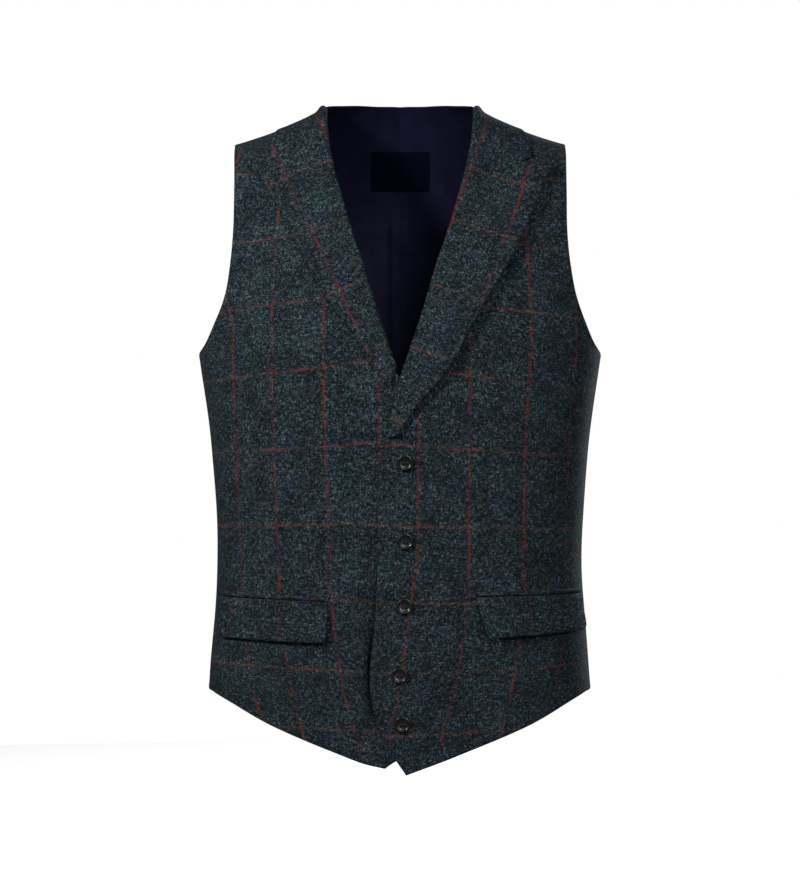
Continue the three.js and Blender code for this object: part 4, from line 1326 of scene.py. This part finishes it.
def button_thread(name, basis):
    origin, left, outwards, down = basis

    def at(a, h, b):
        return origin + left * a + outwards * h + down * b

    half, paths = HOLE_PITCH / 2, []
    for a in (-half, half):
        for strand in (-0.36, 0.0, 0.36):
            lift = 0.18 - 0.5 * abs(strand)
            rising = [(half, 0.3), (half - 0.1, 1.6), (half - 0.45, 2.45 + lift), (0.6, 2.72 + lift)]
            run = [(-b, h) for b, h in rising] + rising[::-1]
            paths.append([at(a + strand, h, b) for b, h in run])
    # Wrapped shank between the button and the cloth.
    turns = 7
    angle = np.linspace(0, 2 * np.pi * turns, 12 * turns)
    depth = np.linspace(-0.25, CLOTH[1] + 0.5 - BUTTON_BACK, len(angle))
    paths.append([at(0.95 * math.cos(t), h, 0.95 * math.sin(t)) for t, h in zip(angle, depth)])
    hint = [left] * (len(paths) - 1) + [outwards]
    return tubes(name, paths, 0.34, thread, outwards=hint)


STITCH_PITCH = 0.62
STITCH_SECTION = [(0.0, -0.5), (-0.05, 0.1), (0.45, 0.42), (1.1, 0.36), (1.6, 0.12), (1.75, -0.35)]  # (out, up)


def buttonhole_stitches(name, x, z):
    """Purl stitches side by side round a keyhole's edge."""
    centre, left, outwards, down = button_basis(x, z, CLOTH[1] + OVERLAP_LIFT)
    closed = np.vstack([KEYHOLE, KEYHOLE[:1]])
    done = np.concatenate([[0], np.cumsum(np.linalg.norm(np.diff(closed, axis=0), axis=1))])
    count = int(done[-1] / STITCH_PITCH)

    def along(d):
        d = min(max(d, 0), done[-1])
        return np.array([np.interp(d, done, closed[:, k]) for k in (0, 1)])

    paths = []
    for d in (np.arange(count) + 0.5) * done[-1] / count:
        spot, step = along(d), along(d + 0.2) - along(d - 0.2)
        step = step / max(1e-6, np.linalg.norm(step))
        away = np.array([step[1], -step[0]])
        if away @ (spot - np.array([min(max(spot[0], 0), SLOT_END + 1), 0])) < 0:
            away = -away
        path = []
        for w, h in STITCH_SECTION:
            a, b = spot + away * w
            path.append(centre + left * a + down * b + outwards * h)
        paths.append(path)
    return tubes(name, paths, 0.27, thread, sides=5, outwards=[outwards] * len(paths))


for number, (x, z) in enumerate(BUTTONS, 1):
    basis = button_basis(x, z, BUTTON_BACK)
    button = button_mesh(f"button_{number}", basis)
    settle(button, f"button_{number}_body")
    settle(button_thread(f"button_thread_{number}", basis), f"button_{number}_body")
    add_detail(buttonhole_stitches(f"buttonhole_{number}", x, z))

# ------------------------------------------------------------------ cinch across the back waist
CINCH_Z, CINCH_WIDTH, CINCH_OUTER, CINCH_TAIL, CINCH_BAR, CINCH_PIVOT = -432, 25, 128, 62, 15, 3
FRAME_HALF, WIRE, STRAP_LOOP, LOOP_END = 17, 0.9, 2.4, 47
STRAP_HALF, TAIL_MIDDLE, BUCKLE_STRAP_MIDDLE = 0.5, 3.65, 5.25
BAR_OFFSET = 7.7


def strap(name, path):
    """A flat strap round the back, given by (x, offset) points along it."""
    line = crowd_path(path, 1.6, 0.5)
    across = crowded([CINCH_WIDTH], 12, 0.5)[0]
    z = CINCH_Z + CINCH_WIDTH * (across - 0.5)
    x = line[:, 0][None, :] + 0 * z[:, None]
    place = across_back(x, z[:, None] + 0 * x)
    run = np.concatenate([[0], np.cumsum(np.linalg.norm(np.diff(line, axis=0), axis=1))])

    def cloth(place, point):
        return np.stack([z[:, None] + 0 * x, run[None, :] + 0 * x], -1)

    return ribbon(name, place, line[:, 1][None, :] + 0 * x, back_relief, STRAP_HALF, cloth, satin, rim=0.6)


def strap_stitches(name, spans):
    """Short machine stitches along a strap's edges, at (x from, x to, outer surface) spans."""
    paths, hints = [], []
    for start, stop, surface in spans:
        count = int((stop - start) / 3.2)
        for k in range(count):
            for edge_z in (-1, 1):
                x = start + (k + np.array([0.12, 0.3, 0.5, 0.7, 0.88])) * (stop - start) / count
                z = CINCH_Z + edge_z * (CINCH_WIDTH / 2 - 2.6) + 0 * x
                place = locate(x, z, "back")
                rise = np.array([-0.22, 0.06, 0.12, 0.06, -0.22])
                paths.append(on_body(place, surface + back_relief(bare_body(place)) + rise))
                hints.append(body_normal(place[2, 0], place[2, 1]))
    return tubes(name, paths, 0.2, thread, sides=5, outwards=hints)


loop = [(CINCH_BAR + STRAP_LOOP * math.cos(a), BAR_OFFSET + STRAP_LOOP * math.sin(a))
        for a in np.linspace(-1.45, -4.85, 9)]
right_strap = strap("cinch_strap_right", [(x, TAIL_MIDDLE) for x in (-CINCH_OUTER, -90, -50, 0, 30, CINCH_TAIL)])
left_strap = strap("cinch_strap_left", [(x, BUCKLE_STRAP_MIDDLE) for x in (CINCH_OUTER, 100, 70, 40, 24)] + loop
                   + [(24, 8.2), (31, 6.6), (38, 6.4), (LOOP_END, 6.4)])
settle(right_strap)
settle(left_strap)
for name, spans in (("right", [(-CINCH_OUTER + 2, -18, 4.15)]), ("left", [(50, CINCH_OUTER - 2, 5.75)])):
    add_detail(strap_stitches(f"strap_stitches_{name}", spans))

seat = locate(CINCH_BAR, CINCH_Z, "back")
BUCKLE_Y = float(on_body(seat, BAR_OFFSET)[1])


def rounded_loop(half_x, half_z, radius):
    """The buckle's outline, with rounded corners."""
    points = []
    for right, up, start in ((1, 1, 0), (-1, 1, 90), (-1, -1, 180), (1, -1, 270)):
        for a in np.radians(start + np.linspace(0, 90, 9)):
            x = right * (half_x - radius) + radius * math.cos(a)
            points.append((x, BUCKLE_Y, CINCH_Z + up * (half_z - radius) + radius * math.sin(a)))
    return points


rim_path = rounded_loop(CINCH_BAR, FRAME_HALF - WIRE, 2.4)
middle_bar = [(CINCH_PIVOT, BUCKLE_Y, CINCH_Z + s * (FRAME_HALF - WIRE)) for s in np.linspace(-1, 1, 9)]
frame_wire = tubes("cinch_buckle_frame", [rim_path], WIRE, steel, sides=16, closed=True, outwards=[(0, 1, 0)])
bar_wire = tubes("buckle_middle_bar", [middle_bar], 0.85, steel, sides=16, outwards=[(0, 1, 0)])
settle(frame_wire, "buckle_body")
add_detail(bar_wire, "buckle_body")

WRAP_RADIUS = 1.9
PRONG_REACH = [(3, 1.95, 1.0), (9, 1.9, 0.95), (15, 1.8, 0.75), (19.3, 1.75, 0.35)]  # (out, off the back, taper)
prong_paths = []
for z in (CINCH_Z - 5, CINCH_Z + 5):
    wrap = [(CINCH_PIVOT + WRAP_RADIUS * math.cos(a), BUCKLE_Y + WRAP_RADIUS * math.sin(a), z)
            for a in np.linspace(-2.6, 1.4, 12)]
    prong_paths.append(wrap + [(CINCH_PIVOT - out, BUCKLE_Y + off, z) for out, off, _ in PRONG_REACH])
prong_taper = [1.0] * len(wrap) + [taper for _, _, taper in PRONG_REACH]
prongs = tubes("cinch_buckle_prongs", prong_paths, 0.75, steel, sides=12, outwards=[(0, 0, 1)] * 2, taper=prong_taper)
settle(prongs, "prong_body")

# ------------------------------------------------------------------ sheet sizes worked out, and the lapels, collars and flaps baked in place
SHEETS = [
    ("front", "hung", "facing"),
    ("facing", "hung", "front"),
    ("lining_front", "hung", "front"),
    ("back", "gathered", "front"),
    ("back_lining", "hung", "back"),
    ("lapel", "folded", "front"),
    ("collar", "folded", "front"),
    ("pocket_flap", "hung", "front"),
    ("pocket_bag", "hung", "front"),
    ("pocket_jet_upper", "folded", "front"),
    ("pocket_jet_lower", "folded", "front"),
    ("cinch_strap", "laid", "back"),
]
for name in SIDES:
    for sheet, held, under in SHEETS:
        declare(f"{sheet}_{name}")
declare("neck_label")

joints = {joint["name"]: joint for joint in frame["joints"]}


def on_front(x, z, offset=LAPEL_MIDDLE):
    return on_body(locate(x, z), np.array(offset)) * MM


for name, side in SIDES.items():
    joint = joints[f"lapel_{name}_lift"]
    pivot, axis = np.array(joint["pos_m"]), unit(np.array(joint["axis"], float))
    across = unit(np.cross(axis, (0, -1.0, 0)))
    across = across * np.sign(across[0] * side)
    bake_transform(pieces[f"lapel_{name}"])
    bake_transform(pieces[f"collar_{name}"], "garment", f"lapel_{name}_body",
             start=on_front(side * 90, -30), end=on_front(side * 90, -72))
    root = pocket_root(name, 0.5)
    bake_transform(pieces[f"pocket_flap_{name}"], "garment", f"flap_{name}_body",
             start=on_front(side * 119.5, root, 5.5), end=on_front(side * 119.5, root - 8, 5.5))

# ------------------------------------------------------------------ floor, light and camera
FLOOR_Z, FLOOR_RADIUS = -0.80, 2.6  # this section is in metres


def plain(name, colour, glow):
    n = Nodes(name)
    n.put(n.shader.inputs["Emission Color"], (1, 1, 1))
    n.put(n.shader.inputs["Emission Strength"], glow)
    return n.finish(colour, 0.9, Specular_IOR_Level=0.1)


floor_mesh = bpy.data.meshes.new("floor")
angles = np.linspace(0, 2 * np.pi, 96, endpoint=False)
ring = [(FLOOR_RADIUS * math.cos(a), FLOOR_RADIUS * math.sin(a), FLOOR_Z) for a in angles]
floor_mesh.from_pydata(ring, [], [list(range(len(ring)))])
floor_mesh.materials.append(plain("pale_floor", (0.86, 0.86, 0.86), 0.7))
floor = bpy.data.objects.new("floor", floor_mesh)
bpy.context.scene.collection.objects.link(floor)
floor.visible_diffuse = False
floor.visible_glossy = False

scene = bpy.context.scene
scene.view_settings.view_transform = "Standard"
world = bpy.data.worlds.new("studio")
scene.world = world
world.use_nodes = True
tree = world.node_tree
tree.nodes.clear()
seen = tree.nodes.new("ShaderNodeBackground")
seen.inputs[0].default_value, seen.inputs[1].default_value = (1, 1, 1, 1), 1.0
lit = tree.nodes.new("ShaderNodeBackground")
lit.inputs[0].default_value, lit.inputs[1].default_value = (0.93, 0.96, 1.0, 1), 0.12
ray = tree.nodes.new("ShaderNodeLightPath")
choose = tree.nodes.new("ShaderNodeMixShader")
output = tree.nodes.new("ShaderNodeOutputWorld")
tree.links.new(ray.outputs["Is Camera Ray"], choose.inputs[0])
tree.links.new(lit.outputs[0], choose.inputs[1])
tree.links.new(seen.outputs[0], choose.inputs[2])
tree.links.new(choose.outputs[0], output.inputs[0])

TARGET, CHEST = Vector((0, 0, -0.32)), Vector((0, -0.1, -0.26))


def softbox(name, place, size, watts, spread=180, target=TARGET):
    data = bpy.data.lights.new(name, "AREA")
    data.shape, data.size, data.energy, data.spread = "DISK", size, watts, math.radians(spread)
    light = bpy.data.objects.new(name, data)
    light.location = place
    light.visible_camera = False
    light.rotation_euler = (target - Vector(place)).to_track_quat("-Z", "Y").to_euler()
    scene.collection.objects.link(light)


softbox("key", (-0.95, -1.25, 0.4), 0.24, 4.1, 80, CHEST)
softbox("fill", (0.7, -2.9, 0.55), 1.1, 36)
softbox("behind", (1.5, 2.0, 0.3), 0.9, 42)

camera = bpy.data.objects.new("camera", bpy.data.cameras.new("camera"))
camera.location = (0, -4.0, -0.3249)
camera.rotation_euler = (math.pi / 2, 0, 0)
camera.data.lens = 170.8
scene.collection.objects.link(camera)
scene.camera = camera
